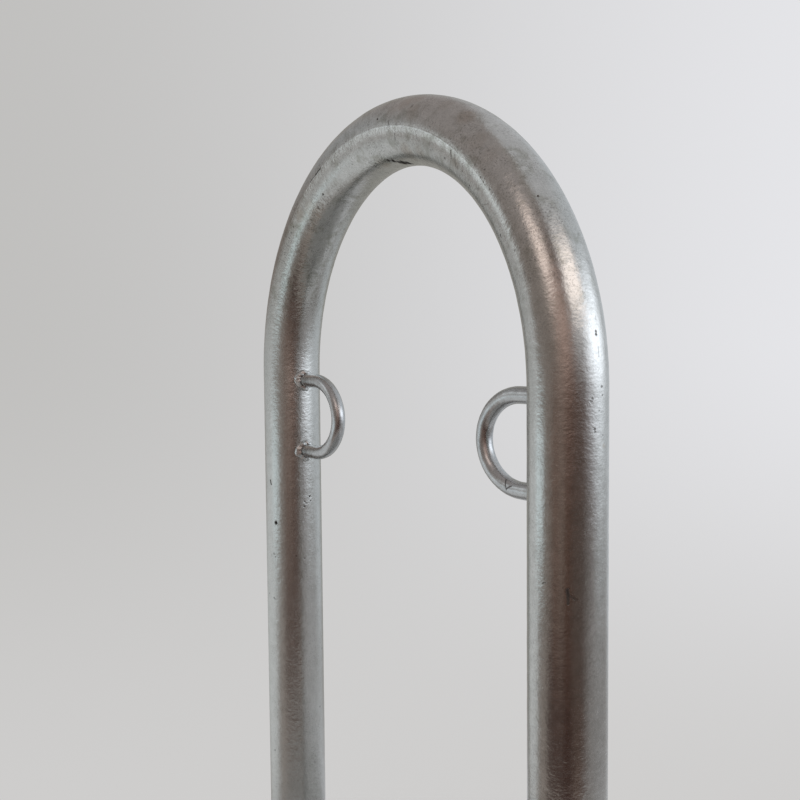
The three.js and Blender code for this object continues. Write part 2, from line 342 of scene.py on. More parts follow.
def tube_surface(sizes, outer_rows=640, inner_rows=96, columns=96):
    """The bent tube as one closed grid: up the outside from the left end to the right end, and back
    along the inside wall. The outside is pulled in by slow waves, as a dipped zinc skin is."""
    whole = hoop_measures(sizes)[3]
    radius = sizes.tube_diameter / 2
    outside = np.linspace(0, whole, outer_rows + 1)
    inside = np.linspace(whole, 0, inner_rows + 1)
    around = full_turn(columns)
    along, turn = np.meshgrid(outside, around, indexing="ij")
    lumps = waves(along, turn, 7, 0.016, 0.11, 6) + 0.45 * waves(along, turn, 8, 0.007, 0.016, 14)
    off = (turn - sizes.seam_turn + pi) % (2 * pi) - pi
    crown = np.exp(-(((along - whole / 2) / SEAM_HALF_LENGTH) ** 4))
    ridge = sizes.seam_height * crown * np.exp(-((off * radius / SEAM_RIDGE) ** 2))
    outer = on_hoop(sizes, along, turn, radius + zinc_depth(sizes, lumps) + ridge)
    along_in, turn_in = np.meshgrid(inside, around, indexing="ij")
    inner = on_hoop(sizes, along_in, turn_in, np.full(along_in.shape, radius - sizes.tube_wall))
    uv_along = np.concatenate([outside, inside, [0]])
    uv_around = full_turn(columns, True) * radius
    grid = np.concatenate([outer, inner])
    return surface(grid, uv_along, uv_around, rows_wrap=True, columns_wrap=True, flip=True)


# Lock rings

def ring_path(sizes, steps):
    """Centre line of a lock ring in its own plane, evenly spaced: distance from the leg's axis, height
    from the ring's middle, and direction. Straight, half an ellipse round the nose, and straight back."""
    straight = sizes.ring_reach - sizes.ring_nose
    half = sizes.ring_spacing / 2
    start = sizes.tube_diameter / 2
    turn = np.linspace(0, pi, 721)
    nose = np.stack([straight + sizes.ring_nose * np.sin(turn), half * np.cos(turn)], -1)
    line = np.concatenate([[[start, half]], nose, [[start, -half]]])
    run = np.concatenate([[0], np.cumsum(np.linalg.norm(np.diff(line, axis=0), axis=1))])
    even = np.linspace(0, run[-1], steps)
    path = np.stack([np.interp(even, run, line[:, 0]), np.interp(even, run, line[:, 1])], -1)
    tangent = np.gradient(path, even, axis=0)
    tangent /= np.linalg.norm(tangent, axis=1)[:, None]
    return path, tangent, even


def ring_surface(sizes, side, steps=230, columns=40, cap_rows=3, bite=0.0012):
    """A lock ring as one closed grid: a circle carried along the path, its two ends cut to the round of
    the tube a little below the tube's surface, and closed there by rows that shrink to a point."""
    sign = SIDES[side]
    bar = sizes.bar_diameter / 2
    seat = sizes.tube_diameter / 2 - bite
    path, tangent, even = ring_path(sizes, steps)
    outward = np.stack([-tangent[:, 1], tangent[:, 0]], -1)
    around = full_turn(columns)
    along, turn = np.meshgrid(even, around, indexing="ij")
    lumps = waves(along, turn, 20 + sign, 0.006, 0.05, 4)
    radius = bar + zinc_depth(sizes, lumps)
    reach = path[:, None, 0] + outward[:, None, 0] * radius * np.cos(turn)
    height = path[:, None, 1] + outward[:, None, 1] * radius * np.cos(turn)
    depth = radius * np.sin(turn)
    straight = sizes.ring_reach - sizes.ring_nose
    start = sizes.tube_diameter / 2
    cut = np.sqrt(seat**2 - depth**2)
    left = np.clip((straight - path[:, None, 0]) / (straight - start), 0, 1)
    reach = reach + left * (cut - start)
    body = np.stack([reach, depth, height], -1)
    shrink = np.linspace(1, 0, cap_rows + 1)[1:, None]
    caps = []
    for end in (0, -1):
        middle = path[end, 1]
        cap_depth = depth[end] * shrink
        cap_height = middle + (height[end] - middle) * shrink
        caps.append(np.stack([np.sqrt(seat**2 - cap_depth**2), cap_depth, cap_height], -1))
    grid = np.concatenate([caps[0][::-1], body, caps[1]])
    leg = leg_place(sizes)
    place = np.stack([sign * (leg - grid[..., 0]), grid[..., 1], grid[..., 2] + sizes.ring_height], -1)
    uv_along = np.concatenate([np.zeros(cap_rows), even, np.full(cap_rows + 1, even[-1])])
    uv_around = full_turn(columns, True) * bar
    return surface(place, uv_along, uv_around, columns_wrap=True, flip=sign > 0)


# Ring beads: turn round the bar at which the welder stopped, in degrees from the front of the hoop, the
# number of drops round the bar, and how far the bead is set into the tube, in metres
BEAD_STOPS = {("left", 1): 12, ("left", -1): -8, ("right", 1): 20, ("right", -1): -15}
BEAD_DROPS = 10
BEAD_SET = 0.00025
# A ring bead's width and height as shares of its own size: the part that is even, and what the drops, the
# unevenness and the last drop add
BEAD_WIDTH_SHARES = (0.84, 0.10, 0.08, 0.42)
BEAD_HEIGHT_SHARES = (0.82, 0.10, 0.08, 0.12)
# The same of a foot bead: the part that is even, and its slow drift
FOOT_WIDTH_SHARES = (0.92, 0.045)
# How round the beads stand, from a flat slope at 0 to a quarter circle at 1
RING_BULGE_SHARE = 0.95
FOOT_BULGE_SHARE = 0.62
# Heights of the crescents and of the unevenness on the ring beads, and of the ripples on the foot beads,
# in metres, and the number of those round the leg
CRESCENT_HEIGHT = 0.00026
UNEVEN_HEIGHT = 0.00016
RIPPLE_HEIGHT = 0.00020
RIPPLES = 74
# How long a bead's own map is across it, in metres
BEAD_MAP = 0.02


def bead_profile(steps, bulge):
    """The outside of a bead's cross-section as two shares: how far out from the part that stands on the
    other, and how far up it. It lies between a straight line and a quarter circle, by the bulge."""
    turn = np.linspace(0, pi / 2, steps)
    line = turn / (pi / 2)
    out_share = (1 - bulge) * (1 - line) + bulge * np.cos(turn)
    up_share = (1 - bulge) * line + bulge * np.sin(turn)
    return out_share, up_share


def bead_section(outer, over, core, sink, spread=0.0):
    """A bead's outside closed to a whole cross-section: it goes on under both faces that it joins, by
    the sink, so that it is one closed body. The lower edge spreads there."""
    below = np.full_like(outer[:1], -sink)
    inner = np.full_like(outer[:1], core - sink)
    radius = np.concatenate([outer[:1] + spread, outer, inner, inner])
    return radius, np.concatenate([below, over, over[-1:], below])


def ring_bead_surface(sizes, side, level, columns=112, rows=18, sink=0.0011):
    """The weld bead at one end of a lock ring, as a closed grid round the bar. At each turn round the bar
    the profile stands on the tube's round: its distance from the leg's axis is the root of the tube's
    radius squared less the depth squared, plus the height over the tube. Width and height swell in the
    overlapping drops of a hand-laid bead, with one larger drop where the welder stopped."""
    sign = SIDES[side]
    seed = 40 + 2 * sign + level
    bar = sizes.bar_diameter / 2
    tube = sizes.tube_diameter / 2
    leg = leg_place(sizes)
    around = full_turn(columns)
    stop = radians(BEAD_STOPS[side, level])
    phase = BEAD_DROPS * (around - stop) + 1.6 * ring_waves(around, seed + 9, 4)
    drop = 0.5 + 0.5 * np.cos(phase)
    blob = np.exp(-(((around - stop + pi) % (2 * pi) - pi) / 0.5) ** 2)
    rough = ring_waves(around, seed, 6, 2)
    even = np.ones(columns)
    width = sizes.ring_bead * np.dot(BEAD_WIDTH_SHARES, [even, drop, rough, blob])
    height = sizes.ring_bead_height * np.dot(BEAD_HEIGHT_SHARES, [even, drop, np.roll(rough, 5), blob])
    out_share, up_share = bead_profile(rows, RING_BULGE_SHARE)
    line = np.linspace(0, 1, rows)[:, None]
    crescent = np.cos(phase[None] + 2.2 * np.sin(pi * line))
    uneven = waves(line * 0.012, around[None], seed + 3, 0.008, 0.024, 7)
    swell = (CRESCENT_HEIGHT * crescent + UNEVEN_HEIGHT * uneven) * np.sin(pi * line)
    outer = bar + out_share[:, None] * width + swell
    over = up_share[:, None] * height + swell
    radius, over = bead_section(outer, over, bar, sink, 0.3 * sink)
    depth = -radius * np.cos(around)
    up = radius * np.sin(around)
    reach = np.sqrt(tube**2 - depth**2) + over - BEAD_SET
    middle = sizes.ring_height + level * sizes.ring_spacing / 2
    place = np.stack([sign * (leg - reach), depth, up + middle], -1)
    uv_along = np.linspace(0, BEAD_MAP, len(radius) + 1)
    uv_around = full_turn(columns, True) * bar
    return surface(place, uv_along, uv_around, rows_wrap=True, columns_wrap=True, flip=sign < 0)


def foot_bead_surface(sizes, side, columns=420, rows=14, sink=0.0012):
    """The weld bead round a leg's foot, as a closed grid round the leg. Its ripples are crescents: a
    cosine of many turns whose phase lags in the middle of the bead, as a moved weld pool leaves them."""
    sign = SIDES[side]
    tube = sizes.tube_diameter / 2
    leg = leg_place(sizes)
    around = full_turn(columns)
    drift = ring_waves(around, 60 + sign, 5)
    width = sizes.foot_bead * np.dot(FOOT_WIDTH_SHARES, [np.ones(columns), drift])
    out_share, up_share = bead_profile(rows, FOOT_BULGE_SHARE)
    line = np.linspace(0, 1, rows)[:, None]
    lag = 2.6 * np.sin(pi * line)
    ripple = np.cos(RIPPLES * around[None] + lag + 0.6 * ring_waves(around, 70 + sign, 9)[None])
    swell = RIPPLE_HEIGHT * ripple * np.sin(pi * line)
    outer = tube + out_share[:, None] * width + swell
    radius, over = bead_section(outer, up_share[:, None] * width + swell, tube, sink)
    place = round_axis(radius, around, sizes.plate_thickness + over, (sign * leg, 0))
    uv_along = np.linspace(0, BEAD_MAP, len(radius) + 1)
    uv_around = full_turn(columns, True) * tube
    return surface(place, uv_along, uv_around, rows_wrap=True, columns_wrap=True)


# Base flanges and fixings

# Depth of a metric thread as a share of its pitch, how steep its flanks are and how much of the triangle
# its flat root cuts off, and height of a rod's pointed end, in metres
THREAD_DEPTH_SHARE = 0.6134
THREAD_STEEPNESS = 2.3
THREAD_ROOT_SHARE = 0.55
ROD_POINT = 0.0015
# Nuts: turn from one to the next and slope of the cone on their corners, in degrees, the cone's smallest
# radius as a share of half the width, size of the bevel at the bore, in metres, and how sharp the corners
# are, as the power of the soft smallest
NUT_TURN = 22
NUT_SLOPE = 30
NUT_FACE_SHARE = 0.955
NUT_MOUTH = 0.0007
NUT_POWER = 70


def anchor_turn(anchor):
    """An anchor's turn round the leg: 45 degrees and every quarter turn from there, in the same order
    as the CAD's."""
    return pi / 4 + (anchor - 1) * pi / 2


def anchor_centre(sizes, side, anchor):
    """Centre of an anchor, on the circle through all four round the leg."""
    turn, radius = anchor_turn(anchor), sizes.anchor_circle / 2
    return SIDES[side] * leg_place(sizes) + radius * cos(turn), radius * sin(turn)


def edge_profile(low, high, edge, steps=4):
    """A wall from low to high with rounded edges: how far in from the wall, and the height."""
    turn = np.linspace(0, pi / 2, steps)
    inset = edge * (1 - np.sin(turn))
    lower = low + edge * (1 - np.cos(turn))
    return np.concatenate([inset, inset[::-1]]), np.concatenate([lower, (low + high) - lower[::-1]])


def plate_surfaces(sizes, side, arc=24, line=14, spokes=10, hole_edge=0.0006):
    """A base flange as a closed shell. Each quarter of its faces is a fan of straight lines from the rim
    of its anchor hole to the quarter's outline, which is an arc of the outer rim, a radius, an arc of
    the vent hole and a radius. The rims are rounded walls on the same points."""
    sign = SIDES[side]
    leg = leg_place(sizes)
    outer = sizes.plate_diameter / 2
    vent = sizes.vent_diameter / 2
    hole = sizes.anchor_hole / 2
    centre = np.array([sizes.anchor_circle / 2, 0.0])
    out_radius = outer - sizes.plate_edge
    in_radius = vent + hole_edge
    quarter = np.linspace(-pi / 4, pi / 4, arc + 1)
    ray_line = np.stack([np.cos(quarter), np.sin(quarter)], -1)
    outside, inside = out_radius * ray_line, in_radius * ray_line[::-1]
    shares = np.linspace(0, 1, line + 1)[1:-1, None]
    outline = np.concatenate(
        [outside, outside[-1] * (1 - shares) + inside[0] * shares,
         inside, inside[-1] * (1 - shares) + outside[0] * shares]
    )
    spread = outline - centre
    ray = spread / np.linalg.norm(spread, axis=1)[:, None]
    rim = centre + ray * (hole + hole_edge)
    spoke = (np.linspace(0, 1, spokes + 1) ** 1.4)[:, None, None]
    fan = rim * (1 - spoke) + outline * spoke
    thick = sizes.plate_thickness
    inset, level = edge_profile(0, thick, hole_edge)
    wall = centre + ray * (hole + inset[:, None, None])
    parts = [(fan, thick, True, True), (fan, 0.0, True, False), (wall, level[:, None], True, True)]
    for radius, edge, flip in ((outer, sizes.plate_edge, False), (vent, hole_edge, True)):
        inset, level = edge_profile(0, thick, edge)
        reach = radius + (inset if flip else -inset)
        parts.append((reach[:, None, None] * ray_line, level[:, None], False, flip))
    made = []
    for anchor in ANCHORS:
        turn = anchor_turn(anchor)
        spin = np.array([[cos(turn), sin(turn)], [-sin(turn), cos(turn)]])
        for flat, heights, wrap, flip in parts:
            spun = flat @ spin
            heights = np.broadcast_to(heights, spun.shape[:2])
            place = np.stack([spun[..., 0] + sign * leg, spun[..., 1], heights], -1)
            made.append(surface(place, columns_wrap=wrap, flip=flip))
    return made


def washer_surface(sizes, side, anchor, columns=72, steps=5, edge=0.0004):
    """A washer as a closed grid: a rectangle with rounded corners turned round the anchor's axis."""
    inner, outer = sizes.washer_bore / 2, sizes.washer_diameter / 2
    low, high = WASHER_LOW.z, WASHER_HIGH.z
    turn = np.linspace(0, pi / 2, steps)
    off, lift = edge * (1 - np.sin(turn)), edge * (1 - np.cos(turn))
    corner_radius = np.concatenate([outer - off, outer - lift, inner + off, inner + lift])
    corner_height = np.concatenate([low + lift, high - off, high - lift, low + off])
    centre = anchor_centre(sizes, side, anchor)
    place = round_axis(corner_radius[:, None], full_turn(columns), corner_height[:, None], centre)
    return surface(place, rows_wrap=True, columns_wrap=True)


def rod_surface(sizes, side, anchor, columns=40, rows_a_turn=9):
    """A threaded rod as a closed grid. Its radius is the outer radius less the thread's depth times a
    flattened triangle wave of the height less the pitch times the turn, drawn in to a cone at both
    ends, with rows that shrink to the axis."""
    radius = sizes.rod_diameter / 2
    pitch = sizes.thread_pitch
    depth = THREAD_DEPTH_SHARE * pitch
    low, high = ROD_LOW.z, ROD_HIGH.z
    rows = int((high - low) / pitch * rows_a_turn)
    height = np.linspace(low, high, rows)[:, None]
    around = full_turn(columns)[None]
    phase = (height / pitch - around / (2 * pi)) % 1
    tooth = np.clip(THREAD_STEEPNESS * (1 - np.abs(2 * phase - 1)) - THREAD_ROOT_SHARE, 0, 1)
    cone = np.minimum(height - low, high - height)
    radius = np.minimum(radius - depth * tooth, radius - ROD_POINT + cone)
    shrink = np.array([0.0, 0.5])[:, None]
    radius = np.concatenate([radius[:1] * shrink, radius, radius[-1:] * shrink[::-1]])
    height = np.concatenate([height[:1], height[:1], height, height[-1:], height[-1:]])
    place = round_axis(radius, around, height, anchor_centre(sizes, side, anchor))
    return surface(place, columns_wrap=True)


def nut_surface(sizes, side, anchor, per_flat=14):
    """A hexagon nut as a closed grid. At each turn its profile runs up the bore, over a small cone, out
    over the top face, down the cone that rounds the corners to the flat or corner, down that, and back
    under. The flat's distance is a soft smallest of six planes, so its corners are slightly round."""
    half_flat = sizes.nut_across_flats / 2
    bore = sizes.rod_diameter / 2 - 0.25 * sizes.thread_pitch
    low, high = NUT_LOW.z, NUT_HIGH.z
    share_line = np.linspace(-1, 1, per_flat, endpoint=False)
    bend = share_line * 1.5 - share_line**3 * 0.5
    start = radians(NUT_TURN) * anchor
    around = np.concatenate([start + flat * pi / 3 + bend * pi / 6 for flat in range(6)])
    planes = np.array([start + flat * pi / 3 for flat in range(6)])
    reach = np.maximum(np.cos(around[:, None] - planes), 0)
    corner = half_flat * (reach**NUT_POWER).sum(1) ** (-1 / NUT_POWER)
    face = half_flat * NUT_FACE_SHARE
    drop = (corner - face) * tan(radians(NUT_SLOPE))
    mouth = bore + NUT_MOUTH
    rows = ((bore, low + NUT_MOUTH), (bore, high - NUT_MOUTH), (mouth, high), (face, high),
            (corner, high - drop), (corner, low + drop), (face, low), (mouth, low))
    every = [[np.broadcast_to(value, around.shape) for value in row] for row in rows]
    radius, height = np.array(every).transpose(1, 0, 2)
    place = round_axis(radius, around, height, anchor_centre(sizes, side, anchor))
    return surface(place, rows_wrap=True, columns_wrap=True, flip=True)


# Nodes

def add_node(tree, kind, sockets=None, **settings):
    """Adds a node, sets its settings, and sets or links its input sockets."""
    made = tree.nodes.new(kind)
    for setting, value in settings.items():
        setattr(made, setting, value)
    for socket, value in (sockets or {}).items():
        if isinstance(value, bpy.types.NodeSocket):
            tree.links.new(value, made.inputs[socket])
        else:
            made.inputs[socket].default_value = value
    return made


def calc(tree, operation, *values, clamp=False):
    """A Math node's result."""
    made = add_node(tree, "ShaderNodeMath", dict(enumerate(values)), operation=operation, use_clamp=clamp)
    return made.outputs[0]


def times(tree, *values):
    """The product of two values."""
    return calc(tree, "MULTIPLY", *values)


def times_plus(tree, *values):
    """The product of two values, plus a third."""
    return calc(tree, "MULTIPLY_ADD", *values)


def vector_calc(tree, operation, *values, output=0):
    """A Vector Math node's result."""
    made = add_node(tree, "ShaderNodeVectorMath", dict(enumerate(values)), operation=operation)
    return made.outputs[output]


def split(tree, vector):
    """The X, Y and Z of a vector."""
    return add_node(tree, "ShaderNodeSeparateXYZ", {0: vector}).outputs


def smooth(tree, value, low, high, start=0.0, end=1.0):
    """A value mapped smoothly from low and high to start and end."""
    sockets = {"Value": value, "From Min": low, "From Max": high, "To Min": start, "To Max": end}
    return add_node(tree, "ShaderNodeMapRange", sockets, interpolation_type="SMOOTHSTEP").outputs[0]


def mix_colours(tree, factor, first, second):
    """A Mix Color node's result."""
    sockets = {0: factor, 6: first, 7: second}
    return add_node(tree, "ShaderNodeMix", sockets, data_type="RGBA").outputs[2]


def noise(tree, vector, scale, detail=2.0, roughness=0.5, distortion=0.0):
    """A 3D Noise Texture's value."""
    sockets = {
        "Vector": vector, "Scale": scale, "Detail": detail, "Roughness": roughness, "Distortion": distortion
    }
    return add_node(tree, "ShaderNodeTexNoise", sockets).outputs[0]


def rgba(values, factor=1.0):
    """A colour times a factor, with full alpha."""
    return (*(value * factor for value in values), 1.0)


def new_material(name):
    """An empty node material and its tree."""
    material = bpy.data.materials.new(name)
    material.use_nodes = True
    material.node_tree.nodes.clear()
    return material, material.node_tree


VECTOR_SOCKETS = ("Vector", "Surface", "Centre", "Start", "Run", "Direction")


def new_group(name, inputs, outputs):
    """A shader node group with named sockets, vectors or numbers, and the two nodes that hold them."""
    group = bpy.data.node_groups.new(name, "ShaderNodeTree")
    for direction, sockets in (("INPUT", inputs), ("OUTPUT", outputs)):
        for socket in sockets:
            kind = "NodeSocketVector" if socket in VECTOR_SOCKETS else "NodeSocketFloat"
            group.interface.new_socket(socket, in_out=direction, socket_type=kind)
    return group, group.nodes.new("NodeGroupInput").outputs, group.nodes.new("NodeGroupOutput").inputs


def mottle_group():
    """Zinc mottle: shade is a cloudy value of three sizes with faint crystal cells, bloom is where the
    zinc has gone dry and pale, tarnish is where it is dull, and flecks are small dark specks in swarms."""
    group, given, result = new_group(
        "Zinc mottle", ("Vector", "Patches", "Crystals"), ("Shade", "Bloom", "Tarnish", "Flecks")
    )
    place, patches = given["Vector"], given["Patches"]
    cloud = noise(group, place, times(group, patches, 0.33), 3.0, 0.6, 0.3)
    middle = noise(group, place, patches, 4.0, 0.62, 0.2)
    fine = noise(group, place, times(group, patches, 3.3), 3.0, 0.65)
    sockets = {"Vector": place, "Scale": given["Crystals"]}
    cells = add_node(group, "ShaderNodeTexVoronoi", sockets, feature="F1")
    tone = add_node(group, "ShaderNodeSeparateColor", {0: cells.outputs["Color"]}).outputs[0]
    total = 0.0
    for part, part_share in zip((cloud, middle, fine, tone), MOTTLE_SHARES):
        total = times_plus(group, part, part_share, total)
    group.links.new(smooth(group, total, 0.34, 0.66), result["Shade"])
    dry = noise(group, place, times(group, patches, 0.6), 5.0, 0.7, 0.2)
    group.links.new(smooth(group, dry, 0.50, 0.74), result["Bloom"])
    moved = vector_calc(group, "ADD", place, (0.37, 0.11, 0.53))
    dull = noise(group, moved, times(group, patches, 0.5), 5.0, 0.68, 0.4)
    group.links.new(smooth(group, dull, 0.50, 0.68), result["Tarnish"])
    swarm = smooth(group, noise(group, moved, times(group, patches, 0.35), 2.0), 0.40, 0.62, 0.3, 1.0)
    dots = smooth(group, noise(group, place, times(group, patches, 5.6), 2.0, 0.55), 0.50, 0.70)
    group.links.new(times(group, swarm, dots), result["Flecks"])
    return group


def bar_group():
    """Round bar coordinates: along the bar, and round it on a circle that is a share of the real one, so
    that a pattern on them is drawn out round the bar and has no seam."""
    group, given, result = new_group(
        "Round bar coordinates", ("Surface", "Radius", "Squeeze"), ("Vector",)
    )
    parts = split(group, given["Surface"])
    turn = calc(group, "DIVIDE", parts[1], given["Radius"])
    radius = times(group, given["Radius"], given["Squeeze"])
    across = times(group, radius, calc(group, "COSINE", turn))
    deep = times(group, radius, calc(group, "SINE", turn))
    joined_up = add_node(group, "ShaderNodeCombineXYZ", {0: parts[0], 1: across, 2: deep})
    group.links.new(joined_up.outputs[0], result["Vector"])
    return group


def grain_group():
    """Zinc grain: the height of the fine orange-peel skin, noises of three sizes added up, and Coarse,
    the sharper small bumps of coarser zinc."""
    group, given, result = new_group("Zinc grain", ("Vector", "Grain"), ("Height", "Coarse"))
    wide = noise(group, given["Vector"], times(group, given["Grain"], 0.33), 2.0, 0.5)
    middle = noise(group, given["Vector"], given["Grain"], 1.5, 0.5)
    fine = noise(group, given["Vector"], times(group, given["Grain"], 2.6), 1.0, 0.5)
    total = times_plus(group, fine, GRAIN_FINE, middle)
    group.links.new(times_plus(group, wide, GRAIN_WIDE, total), result["Height"])
    bumps = noise(group, given["Vector"], times(group, given["Grain"], 0.55), 1.5, 0.5)
    group.links.new(bumps, result["Coarse"])
    return group


def speck_group():
    """Zinc specks: a mask of small dark pits strewn in cells, only in those cells whose own random
    value is under the share, and of a random size."""
    group, given, result = new_group("Zinc specks", ("Vector", "Cells", "Share", "Size"), ("Mask",))
    sockets = {"Vector": given["Vector"], "Scale": given["Cells"]}
    cells = add_node(group, "ShaderNodeTexVoronoi", sockets, feature="F1")
    parts = add_node(group, "ShaderNodeSeparateColor", {0: cells.outputs["Color"]}).outputs
    chosen = calc(group, "LESS_THAN", parts[0], given["Share"])
    size = times(group, given["Size"], smooth(group, parts[1], 0.0, 1.0, 0.35, 1.0))
    near = calc(group, "DIVIDE", cells.outputs["Distance"], size)
    dot = smooth(group, near, 1.0, 0.6)
    group.links.new(times(group, dot, chosen), result["Mask"])
    return group


def after(group, given):
    """The place on the skin, drawn in by a hair where earlier marks lie. So each mark is worked out after
    the one before it, and the renderer never holds them all at once."""
    return vector_calc(group, "MULTIPLY_ADD", given["Mask"], HAIR, given["Vector"])


def pit_group():
    """One pit: the mask that comes in, or one within a radius of a centre, whichever is more."""
    group, given, result = new_group(
        "One pit", ("Mask", "Vector", "Centre", "Radius", "Strength"), ("Mask",)
    )
    place = after(group, given)
    reach = vector_calc(group, "DISTANCE", place, given["Centre"], output="Value")
    near = calc(group, "DIVIDE", reach, given["Radius"])
    spot = smooth(group, near, 1.6, 0.6, 0.0, given["Strength"])
    group.links.new(calc(group, "MAXIMUM", given["Mask"], spot), result["Mask"])
    return group


def scratch_group():
    """One scratch: the mask that comes in, or one within a radius of a line, whichever is more. The
    nearest place on the line is its start plus the share of its run that the place's own way from the
    start has along it."""
    group, given, result = new_group(
        "One scratch", ("Mask", "Vector", "Start", "Run", "Radius", "Strength"), ("Mask",)
    )
    way = vector_calc(group, "SUBTRACT", after(group, given), given["Start"])
    along = vector_calc(group, "DOT_PRODUCT", way, given["Run"], output="Value")
    whole = vector_calc(group, "DOT_PRODUCT", given["Run"], given["Run"], output="Value")
    part = calc(group, "DIVIDE", along, whole, clamp=True)
    sockets = {0: given["Run"], "Scale": part}
    nearest = add_node(group, "ShaderNodeVectorMath", sockets, operation="SCALE").outputs[0]
    reach = vector_calc(group, "DISTANCE", way, nearest, output="Value")
    near = calc(group, "DIVIDE", reach, given["Radius"])
    line = smooth(group, near, 1.7, 0.5, 0.0, given["Strength"])
    group.links.new(calc(group, "MAXIMUM", given["Mask"], line), result["Mask"])
    return group


def bending_group():
    """Bending marks: fine cracks across the tube where it is bent, from a noise that is short along the
    tube and long round it, in patches."""
    group, given, result = new_group("Bending marks", ("Vector", "Surface", "Low", "High"), ("Mask",))
    drawn = vector_calc(group, "MULTIPLY", given["Surface"], CRACK_SCALE)
    lines = smooth(group, noise(group, drawn, 1.0, 3.0, 0.6), 0.56, 0.72)
    patch = smooth(group, noise(group, given["Vector"], 34.0, 3.0, 0.6), 0.46, 0.62)
    level = split(group, given["Vector"])[2]
    bent = smooth(group, level, given["Low"], given["High"])
    group.links.new(times(group, times(group, lines, patch), bent), result["Mask"])
    return group


def seam_group():
    """The tube's own lengthwise weld: within half a width of its place round the tube, and stronger and
    fainter by turns along it."""
    group, given, result = new_group("Tube seam", ("Surface", "Place", "Radius"), ("Mask",))
    parts = split(group, given["Surface"])
    drift = noise(group, add_node(group, "ShaderNodeCombineXYZ", {0: parts[0]}).outputs[0], 60.0, 3.0, 0.6)
    middle = times_plus(group, calc(group, "SUBTRACT", drift, 0.5), 0.0014, given["Place"])
    off = calc(group, "ABSOLUTE", calc(group, "SUBTRACT", parts[1], middle))
    line = smooth(group, calc(group, "DIVIDE", off, given["Radius"]), 1.4, 0.4)
    group.links.new(times(group, line, smooth(group, drift, 0.35, 0.6, 0.35, 1.0)), result["Mask"])
    return group


def group_node(tree, builder, sockets):
    """Places a node group, building it the first time."""
    if builder not in GROUPS:
        GROUPS[builder] = builder()
    return add_node(tree, "ShaderNodeGroup", sockets, node_tree=GROUPS[builder]).outputs


GROUPS = {}
# The zinc's shade: shares of its cloud, middle and fine noises and of its crystal cells
MOTTLE_SHARES = (0.24, 0.38, 0.34, 0.04)
# Its grain: weights of the wide and the fine noise beside the middle one
GRAIN_WIDE, GRAIN_FINE = 1.6, 0.12
# How far a mark draws the next one's place in, in metres
HAIR = (0.00001, 0.00001, 0.00001)

# Pits of the hoop: distance along it from its left end in millimetres, turn round it from its outer
# side in degrees, radius in millimetres, and strength
PITS = (
    (993, -73, 1, 1), (1059, -103, 0.7, 0.5), (1083, -100, 0.6, 0.4), (1104, -110, 1, 0.6),
    (991, -148, 1.7, 1), (998, -151, 2.3, 1), (1004, -157, 2.4, 0.9), (1012, -147, 0.6, 0.5),
    (1009, -160, 3.6, 1), (1016, -162, 3.2, 1), (1018, -164, 1.4, 1), (1021, -167, 1, 0.8),
    (1037, -53, 1.5, 0.4), (1125, -107, 1.2, 0.4), (1133, -105, 1, 0.45), (1147, -114, 0.9, 1),
    (1144, -109, 0.6, 0.4), (1145, -52, 1.1, 0.35), (1156, -73, 0.7, 0.6), (1157, -85, 0.7, 0.6),
    (1162, -86, 0.7, 0.5), (1165, -86, 0.6, 0.4), (1172, -83, 0.8, 0.5), (1176, -82, 0.6, 0.4),
    (1191, -98, 0.7, 0.4), (1207, -108, 0.8, 0.7), (1209, -107, 0.6, 0.4), (1228, -88, 0.9, 0.4),
    (482, -113, 1.9, 1), (510, 173, 1, 0.9), (505, -175, 0.9, 0.7), (505, 171, 0.9, 0.8),
    (503, -179, 0.9, 0.7), (500, -174, 1, 0.8), (508, 177, 0.7, 0.5), (448, -106, 1.1, 0.5),
    (445, -110, 0.9, 0.5), (447, -156, 0.9, 0.35), (444, -173, 0.9, 0.5), (403, -86, 0.9, 0.6),
    (400, -104, 1, 0.6), (399, -107, 0.9, 0.5), (873, -125, 1.1, 0.8), (861, -108, 0.8, 0.4),
    (855, -130, 1.2, 0.45), (854, -133, 1, 0.45), (811, -100, 1, 0.6), (803, -100, 1, 0.5),
    (1296, 5, 1.1, 0.7), (1298, 5, 1.2, 0.75), (1331, 11, 1, 0.6), (1337, 13, 0.8, 0.6),
    (1339, -7, 0.9, 0.6), (1341, -9, 0.9, 0.5), (1348, 6, 0.8, 0.35), (1361, -3, 1, 0.7),
    (1363, -2, 0.9, 0.6), (1366, 14, 0.9, 0.35), (1199, -27, 0.9, 0.8), (340, 138, 1, 0.5),
    (277, 151, 1, 0.5), (231, -98, 1, 0.6),
)
# Scratches and scrapes of the hoop: the place of each end, half the width, and strength
SCRATCHES = (
    (1012, -80, 1014, -89, 0.5, 0.5), (1023, -101, 1022, -110, 0.5, 0.5), (1111, -92, 1114, -102, 0.6, 0.6),
    (1118, -93, 1122, -108, 0.7, 0.45), (527, -98, 523, -101, 0.9, 0.9), (1286, 9, 1288, 8, 0.5, 0.3),
    (1306, 7, 1312, 7, 0.6, 0.35), (1476, -42, 1480, -41, 1.1, 0.8), (1480, -41, 1486, -41, 0.9, 0.75),
    (1473, -78, 1472, -73, 0.5, 0.6), (890, -87, 878, -87, 0.7, 0.9), (878, -87, 865, -85, 0.6, 0.7),
    (989, -147, 1022, -166, 1.0, 0.75), (1008, -144, 1014, -148, 0.4, 0.4),
    (1480, -40, 1483, -30, 0.8, 0.5), (1172, -113, 1178, -101, 0.5, 0.3),
)
